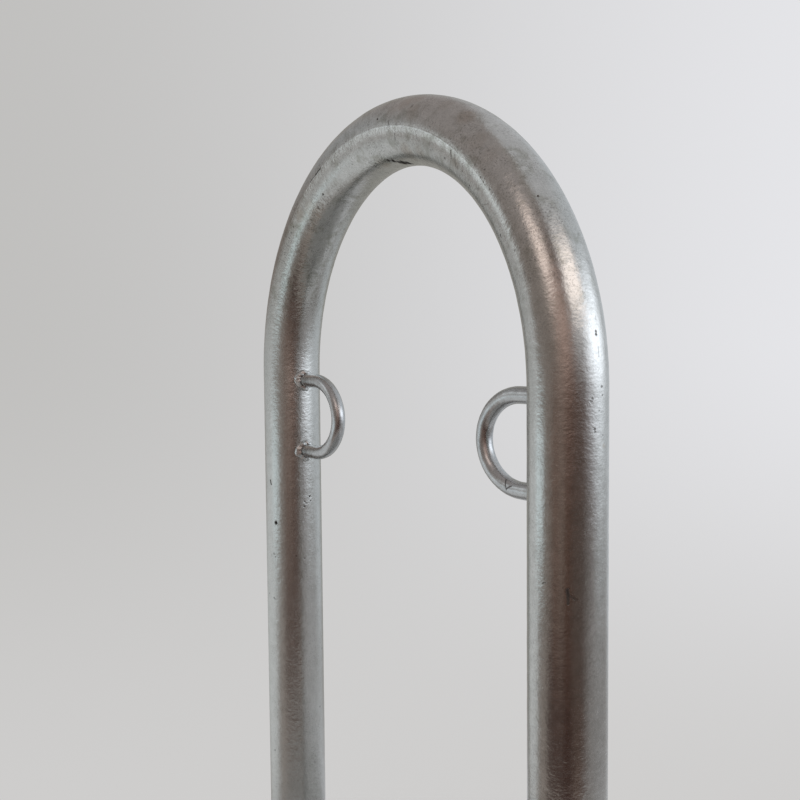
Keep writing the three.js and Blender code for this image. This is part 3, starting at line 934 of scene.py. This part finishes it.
# Brown and dull stains of the hoop, as the pits
STAINS = (
    (1101, -35, 7.9, 0.5), (1036, -131, 7.7, 0.5), (979, -150, 6.3, 0.45), (1008, -165, 3.5, 0.5),
    (829, -104, 7, 0.4), (846, -123, 7.9, 0.4), (1060, -124, 5.8, 0.35), (1121, -104, 4.7, 0.35),
    (1374, 17, 1.8, 0.5), (1041, -64, 7.5, 0.3), (1130, -53, 7.7, 0.25), (1072, -32, 6.5, 0.2),
    (1012, -64, 6.9, 0.25), (1149, -54, 6.8, 0.2), (1024, -45, 7.5, 0.45), (1035, -33, 6, 0.4),
)
# The hoop's looks, as the photograph shows them. First X, in metres, at which the left leg's own zinc
# begins and is full, and the same of the left side of the bend, which is painted darker as painted shade
LEFT_SIDE = (0.14, -0.18)
DULL_SHADED_SIDE = (-0.04, -0.19)
# How much coarser the left leg is, how much paler it is painted as painted reflection, how much rougher it
# is, and how much of the coarseness its flecks have
COARSE_LEFT = 1.7
LEFT_PAINTED_LIGHT_SHARE = 0.3
LEFT_ROUGHER = 0.07
LEFT_FLECKS_SHARE = 0.25
# How far over the start of the bend the bend's looks are full, in metres, and how much more tarnish and
# flecks it has than the legs
BEND_REACH = 0.13
BEND_TARNISH = 4.0
BEND_FLECKS = 2.5
# How much more tarnish that side of the bend has, and how far it is darkened towards the tarnish colour as
# painted shade
DULL_TARNISH_SHARE = 0.6
DULL_SHADE_SHARE = 0.35
# Bending cracks: how far over the start of the bend they are full, their scale along the tube and round
# it, the share of their colour, and how deep they are beside the skin
CRACK_REACH = 0.12
CRACK_SCALE = (1300.0, 280.0, 280.0)
CRACK_SHARE = 0.35
CRACK_DEPTH = 0.4
# The seam: half its width, where it begins and is full over the start of the bend, the share of it that
# shows on the legs, the share of its colour, and how high it is beside the skin
SEAM_HALF_WIDTH = 0.0009
SEAM_REACH = (0.13, 0.20)
SEAM_ON_LEG_SHARE = 0.12
SEAM_SHARE = 0.85
SEAM_HEIGHT = 0.5
# How far the outlines of marks stray, in metres, and how rough pits are and how deep beside the skin
RAGGED = (0.0018, 0.0018, 0.0018)
PIT_ROUGHNESS = 0.75
PIT_DEPTH = 1.2
# Places across a weld bead's own map, in metres, at which the painted shade along each of its two edges
# begins and is full
LOWER_TOE_SHADE = (0.0038, 0.0014)
UPPER_TOE_SHADE = (0.0140, 0.0164)
# Black tick marks on the right lock ring, the last of them a painted shadow in the crevice under its upper
# arm: both ends and half the width, in metres
RING_TICKS_AND_SHADOW = (
    ((0.1528, -0.0041, 0.5751), (0.1549, -0.0063, 0.5714), 0.0006),
    ((0.1549, -0.0063, 0.5714), (0.1565, -0.0070, 0.5677), 0.0006),
    ((0.1566, -0.0070, 0.5684), (0.1616, -0.0062, 0.5710), 0.0006),
)


def hoop_spot(sizes, along, turn):
    """A place on the hoop's skin, from millimetres along and degrees round."""
    place = on_hoop(sizes, np.array(along * MM), np.array(radians(turn)), sizes.tube_diameter / 2)
    return tuple(place)


def spots_mask(tree, vector, places, sizes):
    """Chains one pit node for each place on the hoop, and returns the joined mask."""
    mask = 0.0
    for along, turn, size, strength in places:
        sockets = {"Mask": mask, "Vector": vector, "Centre": hoop_spot(sizes, along, turn),
                   "Radius": size * MM, "Strength": strength}
        mask = group_node(tree, pit_group, sockets)["Mask"]
    return mask


def scratches_mask(tree, vector, places, sizes, mask):
    """Chains one scratch node for each line on the hoop to a mask."""
    for along, turn, end_along, end_turn, half_width, strength in places:
        start = hoop_spot(sizes, along, turn)
        run = tuple(np.subtract(hoop_spot(sizes, end_along, end_turn), start))
        sockets = {"Mask": mask, "Vector": vector, "Start": start, "Run": run,
                   "Radius": half_width * MM, "Strength": strength}
        mask = group_node(tree, scratch_group, sockets)["Mask"]
    return mask


def hoop_looks(tree, looks, place, wrapped, along_skin, finish, sizes):
    """Adds to the looks of the zinc what the photograph shows on the hoop: a coarser left leg, painted
    paler as painted reflection, a duller bend with cracks across it and its left side darkened as painted
    shade, the known stains, pits and scratches, and the seam of the crown."""
    low = hoop_measures(sizes)[1]
    sideways, _, level = split(tree, place)
    left_side = smooth(tree, sideways, *LEFT_SIDE)
    coarse = times(tree, left_side, COARSE_LEFT)
    skin = times_plus(tree, looks["coarse"], coarse, looks["skin"])
    flecks = times(tree, looks["flecks"], times_plus(tree, coarse, LEFT_FLECKS_SHARE, 1.0))
    bent = smooth(tree, level, low, low + BEND_REACH)
    # Painted reflection: the left leg under the bend is painted paler, towards the bloom colour
    painted_light_leg = times(tree, left_side, smooth(tree, bent, 0.0, 1.0, 1.0, 0.0))
    base = mix_colours(tree, times(tree, painted_light_leg, LEFT_PAINTED_LIGHT_SHARE), looks["base"], rgba(finish.bloom))
    looks["rough"] = times_plus(tree, painted_light_leg, LEFT_ROUGHER, looks["rough"])
    tarnish = times(tree, looks["tarnish"], smooth(tree, bent, 0.0, 1.0, 1.0, BEND_TARNISH))
    # Painted shade: the left side of the bend is darkened towards the tarnish colour, with more tarnish
    # mottle
    dull_shaded_side = times(tree, bent, smooth(tree, sideways, *DULL_SHADED_SIDE))
    looks["tarnish"] = times(tree, tarnish, times_plus(tree, dull_shaded_side, DULL_TARNISH_SHARE, 1.0))
    base = mix_colours(tree, times(tree, dull_shaded_side, DULL_SHADE_SHARE), base, rgba(finish.tarnish))
    looks["flecks"] = times(tree, flecks, smooth(tree, bent, 0.0, 1.0, 1.0, BEND_FLECKS))
    sockets = {"Vector": place, "Scale": 520.0, "Detail": 2.0}
    drift = add_node(tree, "ShaderNodeTexNoise", sockets).outputs["Color"]
    drift = vector_calc(tree, "SUBTRACT", drift, (0.5, 0.5, 0.5))
    ragged = vector_calc(tree, "MULTIPLY_ADD", drift, RAGGED, place)
    known = scratches_mask(tree, ragged, SCRATCHES, sizes, spots_mask(tree, ragged, PITS, sizes))
    cloud = smooth(tree, noise(tree, place, 260.0, 3.0, 0.6), 0.30, 0.62, 0.45, 1.0)
    stained = times(tree, spots_mask(tree, ragged, STAINS, sizes), cloud)
    base = mix_colours(tree, stained, base, rgba(finish.stain))
    sockets = {"Vector": place, "Surface": along_skin, "Low": low, "High": low + CRACK_REACH}
    cracks = group_node(tree, bending_group, sockets)["Mask"]
    base = mix_colours(tree, times(tree, cracks, CRACK_SHARE), base, rgba(finish.tube_dark))
    place_round = (2 * pi + sizes.seam_turn) * sizes.tube_diameter / 2
    sockets = {"Surface": wrapped, "Place": place_round, "Radius": SEAM_HALF_WIDTH}
    seam = group_node(tree, seam_group, sockets)["Mask"]
    crown = smooth(tree, level, low + SEAM_REACH[0], low + SEAM_REACH[1], SEAM_ON_LEG_SHARE, 1.0)
    seam = times(tree, seam, crown)
    looks["base"] = mix_colours(tree, times(tree, seam, SEAM_SHARE), base, rgba(finish.bloom))
    looks["pits"] = calc(tree, "MAXIMUM", looks["pits"], known)
    skin = times_plus(tree, cracks, -CRACK_DEPTH, skin)
    looks["skin"] = times_plus(tree, seam, SEAM_HEIGHT, skin)


def painted_toe_shade(tree, base, place, finish):
    """The base colour of a bead with patchy painted shade, in the dark colour of the pits, along both its
    edges where it meets what it joins, by its own map across it.
    """
    own_map = add_node(tree, "ShaderNodeUVMap", uv_map=UV_NAME).outputs[0]
    across = split(tree, own_map)[0]
    # Painted shade along both edges of a bead, where it meets what it joins
    toe_shade = calc(tree, "MAXIMUM", smooth(tree, across, *LOWER_TOE_SHADE), smooth(tree, across, *UPPER_TOE_SHADE))
    patchy = smooth(tree, noise(tree, place, 420.0, 2.0), 0.36, 0.6, 0.25, 0.85)
    return mix_colours(tree, times(tree, toe_shade, patchy), base, rgba(finish.soot_and_shade))


def zinc_material(name, kind, finish, sizes, grain=480.0, bump=0.00006, patches=130.0, crystals=160.0,
                  specks=(70.0, 0.10, 0.05), bar=0.0, hoop=False, bloom_share=0.3, rough_share=0.10,
                  tarnish_share=0.2, fleck_share=0.2, ticks_and_shadow=(), with_toe_shade=False):
    """Hot-dip zinc with the colours of its kind: mottled colour, dry bloom, dull tarnish, flecks, specks
    and pits, a little variation of roughness, and a fine skin in the normal, which on a round bar is drawn
    out round it. The hoop adds its own marks, the tick marks add black lines and a painted shadow, and on a
    bead painted shade lies along both edges where it meets what it joins."""
    light, dark = getattr(finish, f"{kind}_light"), getattr(finish, f"{kind}_dark")
    material, tree = new_material(name)
    place = add_node(tree, "ShaderNodeTexCoord").outputs["Object"]
    along_skin = place
    if bar:
        wrapped = add_node(tree, "ShaderNodeUVMap", uv_map=UV_NAME).outputs[0]
        sockets = {"Surface": wrapped, "Radius": bar, "Squeeze": 0.7}
        along_skin = group_node(tree, bar_group, sockets)["Vector"]
    mottle = group_node(tree, mottle_group, {"Vector": place, "Patches": patches, "Crystals": crystals})
    skins = group_node(tree, grain_group, {"Vector": along_skin, "Grain": grain})
    sockets = dict(zip(("Vector", "Cells", "Share", "Size"), (place, *specks)))
    looks = {"pits": group_node(tree, speck_group, sockets)["Mask"]}
    looks["skin"], looks["coarse"] = skins["Height"], skins["Coarse"]
    base = mix_colours(tree, mottle["Shade"], rgba(dark), rgba(light))
    bloom = times(tree, mottle["Bloom"], bloom_share)
    looks["base"] = mix_colours(tree, bloom, base, rgba(finish.bloom))
    looks["rough"] = times_plus(tree, mottle["Bloom"], rough_share, getattr(finish, f"{kind}_roughness"))
    looks["tarnish"] = times(tree, mottle["Tarnish"], tarnish_share)
    looks["flecks"] = times(tree, mottle["Flecks"], fleck_share)
    # Black tick marks, and a painted shadow in the crevice under a lock ring's upper arm
    for start, end, half_width in ticks_and_shadow:
        sockets = {"Mask": looks["pits"], "Vector": place, "Start": start,
                   "Run": tuple(np.subtract(end, start)), "Radius": half_width, "Strength": 0.7}
        looks["pits"] = group_node(tree, scratch_group, sockets)["Mask"]
    if hoop:
        hoop_looks(tree, looks, place, wrapped, along_skin, finish, sizes)
    if with_toe_shade:
        looks["base"] = painted_toe_shade(tree, looks["base"], place, finish)
    base = mix_colours(tree, looks["tarnish"], looks["base"], rgba(finish.tarnish))
    base = mix_colours(tree, looks["flecks"], base, rgba(finish.soot_and_shade))
    # Pits and marks in the dark colour, on the lock rings with a painted shadow among them
    base = mix_colours(tree, looks["pits"], base, rgba(finish.soot_and_shade))
    rough = calc(tree, "MAXIMUM", looks["rough"], times(tree, looks["pits"], PIT_ROUGHNESS))
    height = times_plus(tree, looks["pits"], -PIT_DEPTH, looks["skin"])
    relief = add_node(tree, "ShaderNodeBump", {"Strength": 1.0, "Distance": bump, "Height": height})
    sockets = {"Base Color": base, "Metallic": 1.0, "Roughness": rough, "Normal": relief.outputs[0]}
    shader = add_node(tree, "ShaderNodeBsdfPrincipled", sockets)
    add_node(tree, "ShaderNodeOutputMaterial", {"Surface": shader.outputs[0]})
    return material


# Stage

# How bright the floor is in the metal, as a share of what the camera sees
FLOOR_IN_METAL_SHARE = 0.52


def floor_material(stage):
    """A pale matt floor that fades out with the distance from its middle, and is clear from below."""
    material, tree = new_material("Pale floor")
    place = add_node(tree, "ShaderNodeTexCoord").outputs["Object"]
    reach = vector_calc(tree, "LENGTH", place, output="Value")
    grain = noise(tree, place, 14.0, 3.0)
    tone = mix_colours(tree, grain, rgba(stage.floor_colour, 0.97), rgba(stage.floor_colour))
    rays = add_node(tree, "ShaderNodeLightPath").outputs
    tone = mix_colours(tree, rays["Is Glossy Ray"], tone, rgba(stage.floor_colour, FLOOR_IN_METAL_SHARE))
    matt = add_node(tree, "ShaderNodeBsdfPrincipled", {"Base Color": tone, "Roughness": 0.85})
    matt.inputs["Specular IOR Level"].default_value = 0.2
    clear = add_node(tree, "ShaderNodeBsdfTransparent")
    away = smooth(tree, reach, stage.floor_clear, stage.floor_end)
    beneath = add_node(tree, "ShaderNodeNewGeometry").outputs["Backfacing"]
    factor = calc(tree, "MAXIMUM", away, beneath)
    mixed = add_node(tree, "ShaderNodeMixShader", {0: factor, 1: matt.outputs[0], 2: clear.outputs[0]})
    add_node(tree, "ShaderNodeOutputMaterial", {"Surface": mixed.outputs[0]})
    return material


def stage_object(name, grid, material):
    """A stage object from a grid that closes round its columns, its poles merged to one point."""
    points, quads, _ = joined([surface(grid, columns_wrap=True, flip=True)])
    mesh = bpy.data.meshes.new(name)
    mesh.from_pydata(points.tolist(), [], [list(dict.fromkeys(quad)) for quad in quads.tolist()])
    mesh.materials.append(material)
    made = bpy.data.objects.new(name, mesh)
    bpy.context.scene.collection.objects.link(made)
    return made


def make_floor(stage, rings=40, columns=96, gap=0.0002):
    """The floor as a disc of rings round the middle, just under the flanges."""
    reach = np.linspace(0, stage.floor_end * 1.05, rings)[:, None]
    around = full_turn(columns)
    stage_object("floor", round_axis(reach, around, -gap), floor_material(stage))


# The photograph's camera: turn about the upright, tilt and roll in degrees, and place in metres
CAMERA_TURN, CAMERA_TILT, CAMERA_ROLL = 56.8532, -3.6371, -0.5142
CAMERA_PLACE = (0.80158, -0.52731, 0.69155)


def camera_axes():
    """Level right, up and forward directions of the camera before its roll."""
    turn, tilt = radians(CAMERA_TURN), radians(CAMERA_TILT)
    right = Vector((cos(turn), sin(turn), 0))
    forward = Vector((-sin(turn) * cos(tilt), cos(turn) * cos(tilt), sin(tilt)))
    return right, right.cross(forward), forward


def make_camera(stage):
    """The camera at the photograph's place and angle."""
    right, up, forward = camera_axes()
    roll = radians(CAMERA_ROLL)
    rolled_right = cos(roll) * right + sin(roll) * up
    rolled_up = rolled_right.cross(forward)
    data = bpy.data.cameras.new("camera")
    data.lens = stage.camera_lens * 1000
    data.sensor_width = 36.0
    camera = bpy.data.objects.new("camera", data)
    camera.matrix_world = Matrix.Translation(CAMERA_PLACE) @ Matrix(
        (rolled_right, rolled_up, -forward)
    ).transposed().to_4x4()
    bpy.context.scene.collection.objects.link(camera)
    bpy.context.scene.camera = camera


# Parts of the room that the metal shows, as painted on a shell round the hoop: azimuth and elevation
# of the middle, half width, half height and softness in degrees, and colour
ROOM = (
    ("backdrop wall", 203, -2, 115, 58, 32, (0.291, 0.245, 0.221)),
    ("pale wall behind", -176, -26, 12, 13, 9, (0.566, 0.585, 0.57)),
    ("dark room", 10, 4, 56, 49, 17, (0.104, 0.0492, 0.0332)),
    ("dark room, left", -62, -16, 12, 20, 12, (0.19, 0.122, 0.098)),
    ("overhead, left", -144, 71, 112, 35, 23, (0.394, 0.352, 0.342)),
    ("overhead, right", 55, 56, 73, 48, 14, (0.622, 0.612, 0.628)),
    ("floor, left", -118, -83, 87, 16, 12, (1.0, 1.1, 1.0)),
    ("floor, front", -43, -55, 69, 20, 8, (0.39, 0.33, 0.299)),
    ("floor, right", 83, -61, 83, 25, 8, (0.675, 0.679, 0.708)),
    ("side wall, right", 87, 8, 55, 42, 17, (0.661, 0.688, 0.723)),
    ("side wall, left", -147, -20, 25, 28, 13, (0.729, 0.732, 0.738)),
    ("side wall's shadow", -164, 1, 20, 6, 8, (0.548, 0.552, 0.547)),
    ("pale wall, high", -165, 36, 22, 9, 12, (0.439, 0.443, 0.451)),
    ("left light", -136, 22, 9, 5, 12, (1.74, 1.86, 1.92)),
    ("dark room, upper", -37, 19, 15, 13, 16, (0.642, 0.452, 0.392)),
    ("dark room, lower", -53, -31, 34, 6, 9, (0.0281, 0.00413, 0.00307)),
    ("dark room, right", -4, -16, 23, 10, 10, (0.116, 0.0876, 0.0758)),
    ("window's sill", 48, -25, 39, 11, 14, (0.349, 0.329, 0.325)),
    ("window", 40, 14, 24, 10, 18, (2.61, 2.72, 2.95)),
    ("warm lamp", 5, 34, 18, 10, 8, (1.95, 1.71, 1.61)),
    ("far lamp", -57, 38, 10, 8, 13, (2.25, 1.82, 1.65)),
    ("left window, low", -116, -10, 15, 5, 9, (1.19, 1.36, 1.43)),
    ("backdrop behind", 147, 4, 24, 40, 12, (0.388, 0.378, 0.351)),
)
# Soft lamps for the floor and its shadow: azimuth, elevation, half width and half height in degrees,
# radiance and colour
LAMPS = (
    ("window lamp", 50, 24, 28, 12, 1.0, (0.93, 0.98, 1.0)),
    ("warm lamp", 0, 44, 17, 8, 1.0, (1.0, 0.90, 0.84)),
    ("far lamp", -75, 46, 9, 6, 1.0, (1.0, 0.84, 0.78)),
)
LAMP_DISTANCE = 3.2
# The backdrop's colour at the top left and the top right, as shares of its middle tone: painted light that
# darkens the top left and lightens the top right
BACKDROP_TOP_SHARES = ((0.84, 0.84, 0.83), (1.30, 1.32, 1.38))
# Where it begins and is full upwards, and from left to right, as parts of a direction of length 1
BACKDROP_RISE = (-0.44, 0.02)
BACKDROP_SWEEP = (-0.52, 0.52)


def patch_group():
    """Room patch: how much a direction lies in a patch of the room, from its azimuth and elevation."""
    group, given, result = new_group(
        "Room patch", ("Direction", "Azimuth", "Elevation", "Width", "Height", "Soft"), ("Share",)
    )
    sockets = {"Vector": given["Direction"], "Angle": times(group, given["Azimuth"], -1.0)}
    faced = add_node(group, "ShaderNodeVectorRotate", sockets, rotation_type="Z_AXIS")
    parts = split(group, faced.outputs[0])
    sideways = calc(group, "ABSOLUTE", calc(group, "ARCTAN2", parts[1], parts[0]))
    level = calc(group, "ARCSINE", parts[2])
    upwards = calc(group, "ABSOLUTE", calc(group, "SUBTRACT", level, given["Elevation"]))
    inside = []
    for off, half in ((sideways, given["Width"]), (upwards, given["Height"])):
        gone = calc(group, "ADD", half, given["Soft"])
        inside.append(smooth(group, off, gone, calc(group, "SUBTRACT", half, given["Soft"])))
    group.links.new(times(group, *inside), result["Share"])
    return group


def make_world(stage):
    """The backdrop and the plain light. The camera sees a pale backdrop, even at the bottom and painted
    lighter to the upper right as painted light; everything else is lit by one pale tone. The metal shows
    the room instead."""
    world = bpy.data.worlds.new("studio")
    bpy.context.scene.world = world
    world.use_nodes = True
    world.cycles_visibility.glossy = False
    tree = world.node_tree
    tree.nodes.clear()
    direction = add_node(tree, "ShaderNodeTexCoord").outputs["Generated"]
    sideways = vector_calc(tree, "DOT_PRODUCT", direction, tuple(camera_axes()[0]), output="Value")
    level = split(tree, direction)[2]
    # Painted light on the backdrop: darker to the top left, lighter to the top right
    upper = smooth(tree, level, *BACKDROP_RISE)
    across = calc(tree, "POWER", smooth(tree, sideways, *BACKDROP_SWEEP), 1.25)
    left, right = (rgba(np.multiply(stage.backdrop, shares)) for shares in BACKDROP_TOP_SHARES)
    top = mix_colours(tree, across, left, right)
    backdrop = mix_colours(tree, upper, rgba(stage.backdrop), top)
    rays = add_node(tree, "ShaderNodeLightPath").outputs
    seen = calc(tree, "MAXIMUM", rays["Is Camera Ray"], rays["Is Transmission Ray"])
    seen = calc(tree, "MAXIMUM", seen, rays["Is Glossy Ray"])
    shown = mix_colours(tree, seen, rgba(stage.backdrop), backdrop)
    light = add_node(tree, "ShaderNodeBackground", {"Color": shown, "Strength": 1.0})
    add_node(tree, "ShaderNodeOutputWorld", {"Surface": light.outputs[0]})


def room_material(stage):
    """The room that the metal shows: a pale tone with the room's parts laid over it, by the direction
    from the room's middle."""
    material, tree = new_material("Room seen in the metal")
    material.cycles.emission_sampling = "NONE"
    place = add_node(tree, "ShaderNodeTexCoord").outputs["Object"]
    direction = vector_calc(
        tree, "NORMALIZE", vector_calc(tree, "SUBTRACT", place, (0.0, 0.0, stage.room_height))
    )

    def patch(azimuth, elevation, width, height, soft):
        """A room patch node with angles given in degrees."""
        sockets = {"Direction": direction, "Azimuth": radians(azimuth), "Elevation": radians(elevation),
                   "Width": radians(width), "Height": radians(height), "Soft": radians(soft)}
        return group_node(tree, patch_group, sockets)["Share"]

    seen = rgba(stage.room)
    for _, azimuth, elevation, width, height, soft, tone in ROOM:
        seen = mix_colours(tree, patch(azimuth, elevation, width, height, soft), seen, rgba(tone))
    glow = add_node(tree, "ShaderNodeEmission", {"Color": seen, "Strength": 1.0})
    add_node(tree, "ShaderNodeOutputMaterial", {"Surface": glow.outputs[0]})
    return material


def make_room(stage, rings=48, columns=96):
    """The shell that carries the room, a sphere round the hoop that only reflections see."""
    tilt = np.linspace(0, pi, rings)[:, None]
    level = stage.room_height + stage.room_radius * np.cos(tilt)
    shell = round_axis(stage.room_radius * np.sin(tilt), full_turn(columns), level)
    room = stage_object("room_shell", shell, room_material(stage))
    for ray in ("camera", "diffuse", "transmission", "volume_scatter", "shadow"):
        setattr(room, f"visible_{ray}", False)


def make_lamps(sizes):
    """Soft rectangular lamps all round, each turned to the middle of the hoop."""
    target = Vector((0, 0, sizes.hoop_top * 0.7))
    for name, azimuth, elevation, width, height, radiance, tone in LAMPS:
        a, e = radians(azimuth), radians(elevation)
        towards = Vector((cos(a) * cos(e), sin(a) * cos(e), sin(e)))
        data = bpy.data.lights.new(name, "AREA")
        data.shape = "RECTANGLE"
        data.size = 2 * LAMP_DISTANCE * tan(radians(width))
        data.size_y = 2 * LAMP_DISTANCE * tan(radians(height))
        data.energy = pi * radiance * data.size * data.size_y
        data.color = tone
        lamp = bpy.data.objects.new(name, data)
        lamp.location = target + towards * LAMP_DISTANCE
        lamp.rotation_euler = towards.to_track_quat("Z", "Y").to_euler()
        lamp.visible_camera = False
        lamp.visible_glossy = False
        bpy.context.scene.collection.objects.link(lamp)


# Operators

def rack_settings(context):
    """The three groups of settings."""
    scene = context.scene
    return scene.rack_sizes, scene.rack_finish, scene.rack_stage


def bead_material(context):
    """The finish of the weld beads, made once."""
    sizes, finish, _ = rack_settings(context)
    if "Zinc on weld" not in bpy.data.materials:
        return zinc_material(
            "Zinc on weld", "bead", finish, sizes, grain=900.0, bump=0.00004, patches=260.0,
            crystals=420.0, specks=(300.0, 0.12, 0.14), bloom_share=0.55, rough_share=0.16, with_toe_shade=True
        )
    return bpy.data.materials["Zinc on weld"]


class RACK_OT_hoop(bpy.types.Operator):
    """Make the bent tube"""

    bl_idname = "rack.hoop"
    bl_label = "Bent tube"

    def execute(self, context):
        sizes, finish, _ = rack_settings(context)
        material = zinc_material(
            "Galvanised tube", "tube", finish, sizes,
            grain=560.0, bump=0.000125, bar=sizes.tube_diameter / 2, hoop=True, bloom_share=0.25,
            rough_share=0.05, tarnish_share=0.16, fleck_share=0.16
        )
        make_piece(
            "hoop_bent_tube", [tube_surface(sizes)], material, ["hoop_tube"], sharp=50
        )
        return {"FINISHED"}


class RACK_OT_lock_rings(bpy.types.Operator):
    """Make the two lock rings of round bar"""

    bl_idname = "rack.lock_rings"
    bl_label = "Lock rings"

    def execute(self, context):
        sizes, finish, _ = rack_settings(context)
        material = zinc_material(
            "Galvanised bar", "bar", finish, sizes,
            grain=620.0, bump=0.00005, patches=170.0, specks=(110.0, 0.04, 0.06),
            bar=sizes.bar_diameter / 2, bloom_share=0.22, rough_share=0.08, tarnish_share=0.22,
            fleck_share=0.22, ticks_and_shadow=RING_TICKS_AND_SHADOW
        )
        for side in SIDES:
            make_piece(
                f"ring_{side}_bar", [ring_surface(sizes, side)], material,
                [f"lock_ring_{side}"]
            )
        return {"FINISHED"}


class RACK_OT_ring_beads(bpy.types.Operator):
    """Make the weld beads at the lock rings' ends"""

    bl_idname = "rack.ring_beads"
    bl_label = "Ring weld beads"

    def execute(self, context):
        sizes, material = rack_settings(context)[0], bead_material(context)
        for side in SIDES:
            for word, level in (("upper", 1), ("lower", -1)):
                make_piece(
                    f"ring_{side}_bead_{word}", [ring_bead_surface(sizes, side, level)], material,
                    [f"ring_weld_{side}_{word}"]
                )
        return {"FINISHED"}


class RACK_OT_flanges(bpy.types.Operator):
    """Make the two base flanges"""

    bl_idname = "rack.flanges"
    bl_label = "Base flanges"

    def execute(self, context):
        sizes, finish, _ = rack_settings(context)
        material = zinc_material(
            "Galvanised plate", "plate", finish, sizes,
            patches=110.0, crystals=90.0, bloom_share=0.45
        )
        for side in SIDES:
            make_piece(
                f"flange_{side}_plate", plate_surfaces(sizes, side), material,
                [f"base_flange_{side}"], sharp=32
            )
        return {"FINISHED"}


class RACK_OT_foot_beads(bpy.types.Operator):
    """Make the weld beads round the legs' feet"""

    bl_idname = "rack.foot_beads"
    bl_label = "Foot weld beads"

    def execute(self, context):
        sizes, material = rack_settings(context)[0], bead_material(context)
        for side in SIDES:
            make_piece(
                f"foot_{side}_bead", [foot_bead_surface(sizes, side)], material,
                [f"base_weld_{side}"]
            )
        return {"FINISHED"}


class RACK_OT_fixings(bpy.types.Operator):
    """Make the anchor rods, washers and nuts"""

    bl_idname = "rack.fixings"
    bl_label = "Anchor rods, washers and nuts"

    def execute(self, context):
        sizes, finish, _ = rack_settings(context)
        material = zinc_material(
            "Plated fixings", "fixing", finish, sizes,
            grain=1500.0, bump=0.00001, patches=160.0, crystals=300.0, specks=(240.0, 0.06, 0.10)
        )
        for side in SIDES:
            for anchor in ANCHORS:
                end = f"{side}_{anchor}"
                make_piece(
                    f"rod_{end}_thread", [rod_surface(sizes, side, anchor)], material,
                    [f"anchor_rod_{end}"], sharp=60
                )
                make_piece(
                    f"washer_{end}_disc", [washer_surface(sizes, side, anchor)], material,
                    [f"anchor_washer_{end}"]
                )
                make_piece(
                    f"nut_{end}_hexagon", [nut_surface(sizes, side, anchor)], material,
                    [f"anchor_nut_{end}"], sharp=24
                )
        return {"FINISHED"}


class RACK_OT_stage(bpy.types.Operator):
    """Set the floor, backdrop, lamps and camera"""

    bl_idname = "rack.stage"
    bl_label = "Stage"

    def execute(self, context):
        sizes, _, stage = rack_settings(context)
        make_camera(stage)
        make_world(stage)
        make_room(stage)
        make_lamps(sizes)
        make_floor(stage)
        context.scene.view_settings.view_transform = "Standard"
        return {"FINISHED"}


OPERATORS = (
    RACK_OT_stage,
    RACK_OT_hoop,
    RACK_OT_lock_rings,
    RACK_OT_ring_beads,
    RACK_OT_flanges,
    RACK_OT_foot_beads,
    RACK_OT_fixings,
)


class RACK_PT_panel(bpy.types.Panel):
    """Lists the rack's settings and makers"""

    bl_idname = "RACK_PT_panel"
    bl_label = "Bike Rack"
    bl_space_type = "VIEW_3D"
    bl_region_type = "UI"
    bl_category = "Bike Rack"

    def draw(self, context):
        """One column of buttons, then each group's settings."""
        layout = self.layout
        for operator in OPERATORS:
            layout.operator(operator.bl_idname)
        for settings in rack_settings(context):
            box = layout.box()
            for name in settings.__annotations__:
                box.prop(settings, name)


GROUP_CLASSES = (RackSizes, RackFinish, RackStage)


def register():
    """Registers the settings, operators and panel."""
    for group in GROUP_CLASSES + OPERATORS + (RACK_PT_panel,):
        bpy.utils.register_class(group)
    bpy.types.Scene.rack_sizes = PointerProperty(type=RackSizes)
    bpy.types.Scene.rack_finish = PointerProperty(type=RackFinish)
    bpy.types.Scene.rack_stage = PointerProperty(type=RackStage)


def unregister():
    """Takes back what register did."""
    del bpy.types.Scene.rack_stage
    del bpy.types.Scene.rack_finish
    del bpy.types.Scene.rack_sizes
    for group in reversed(GROUP_CLASSES + OPERATORS + (RACK_PT_panel,)):
        bpy.utils.unregister_class(group)


def main():
    """Makes the stage and every piece."""
    register()
    bpy.ops.rack.stage()
    bpy.ops.rack.hoop()
    bpy.ops.rack.lock_rings()
    bpy.ops.rack.ring_beads()
    bpy.ops.rack.flanges()
    bpy.ops.rack.foot_beads()
    bpy.ops.rack.fixings()


if __name__ == "__main__":
    main()
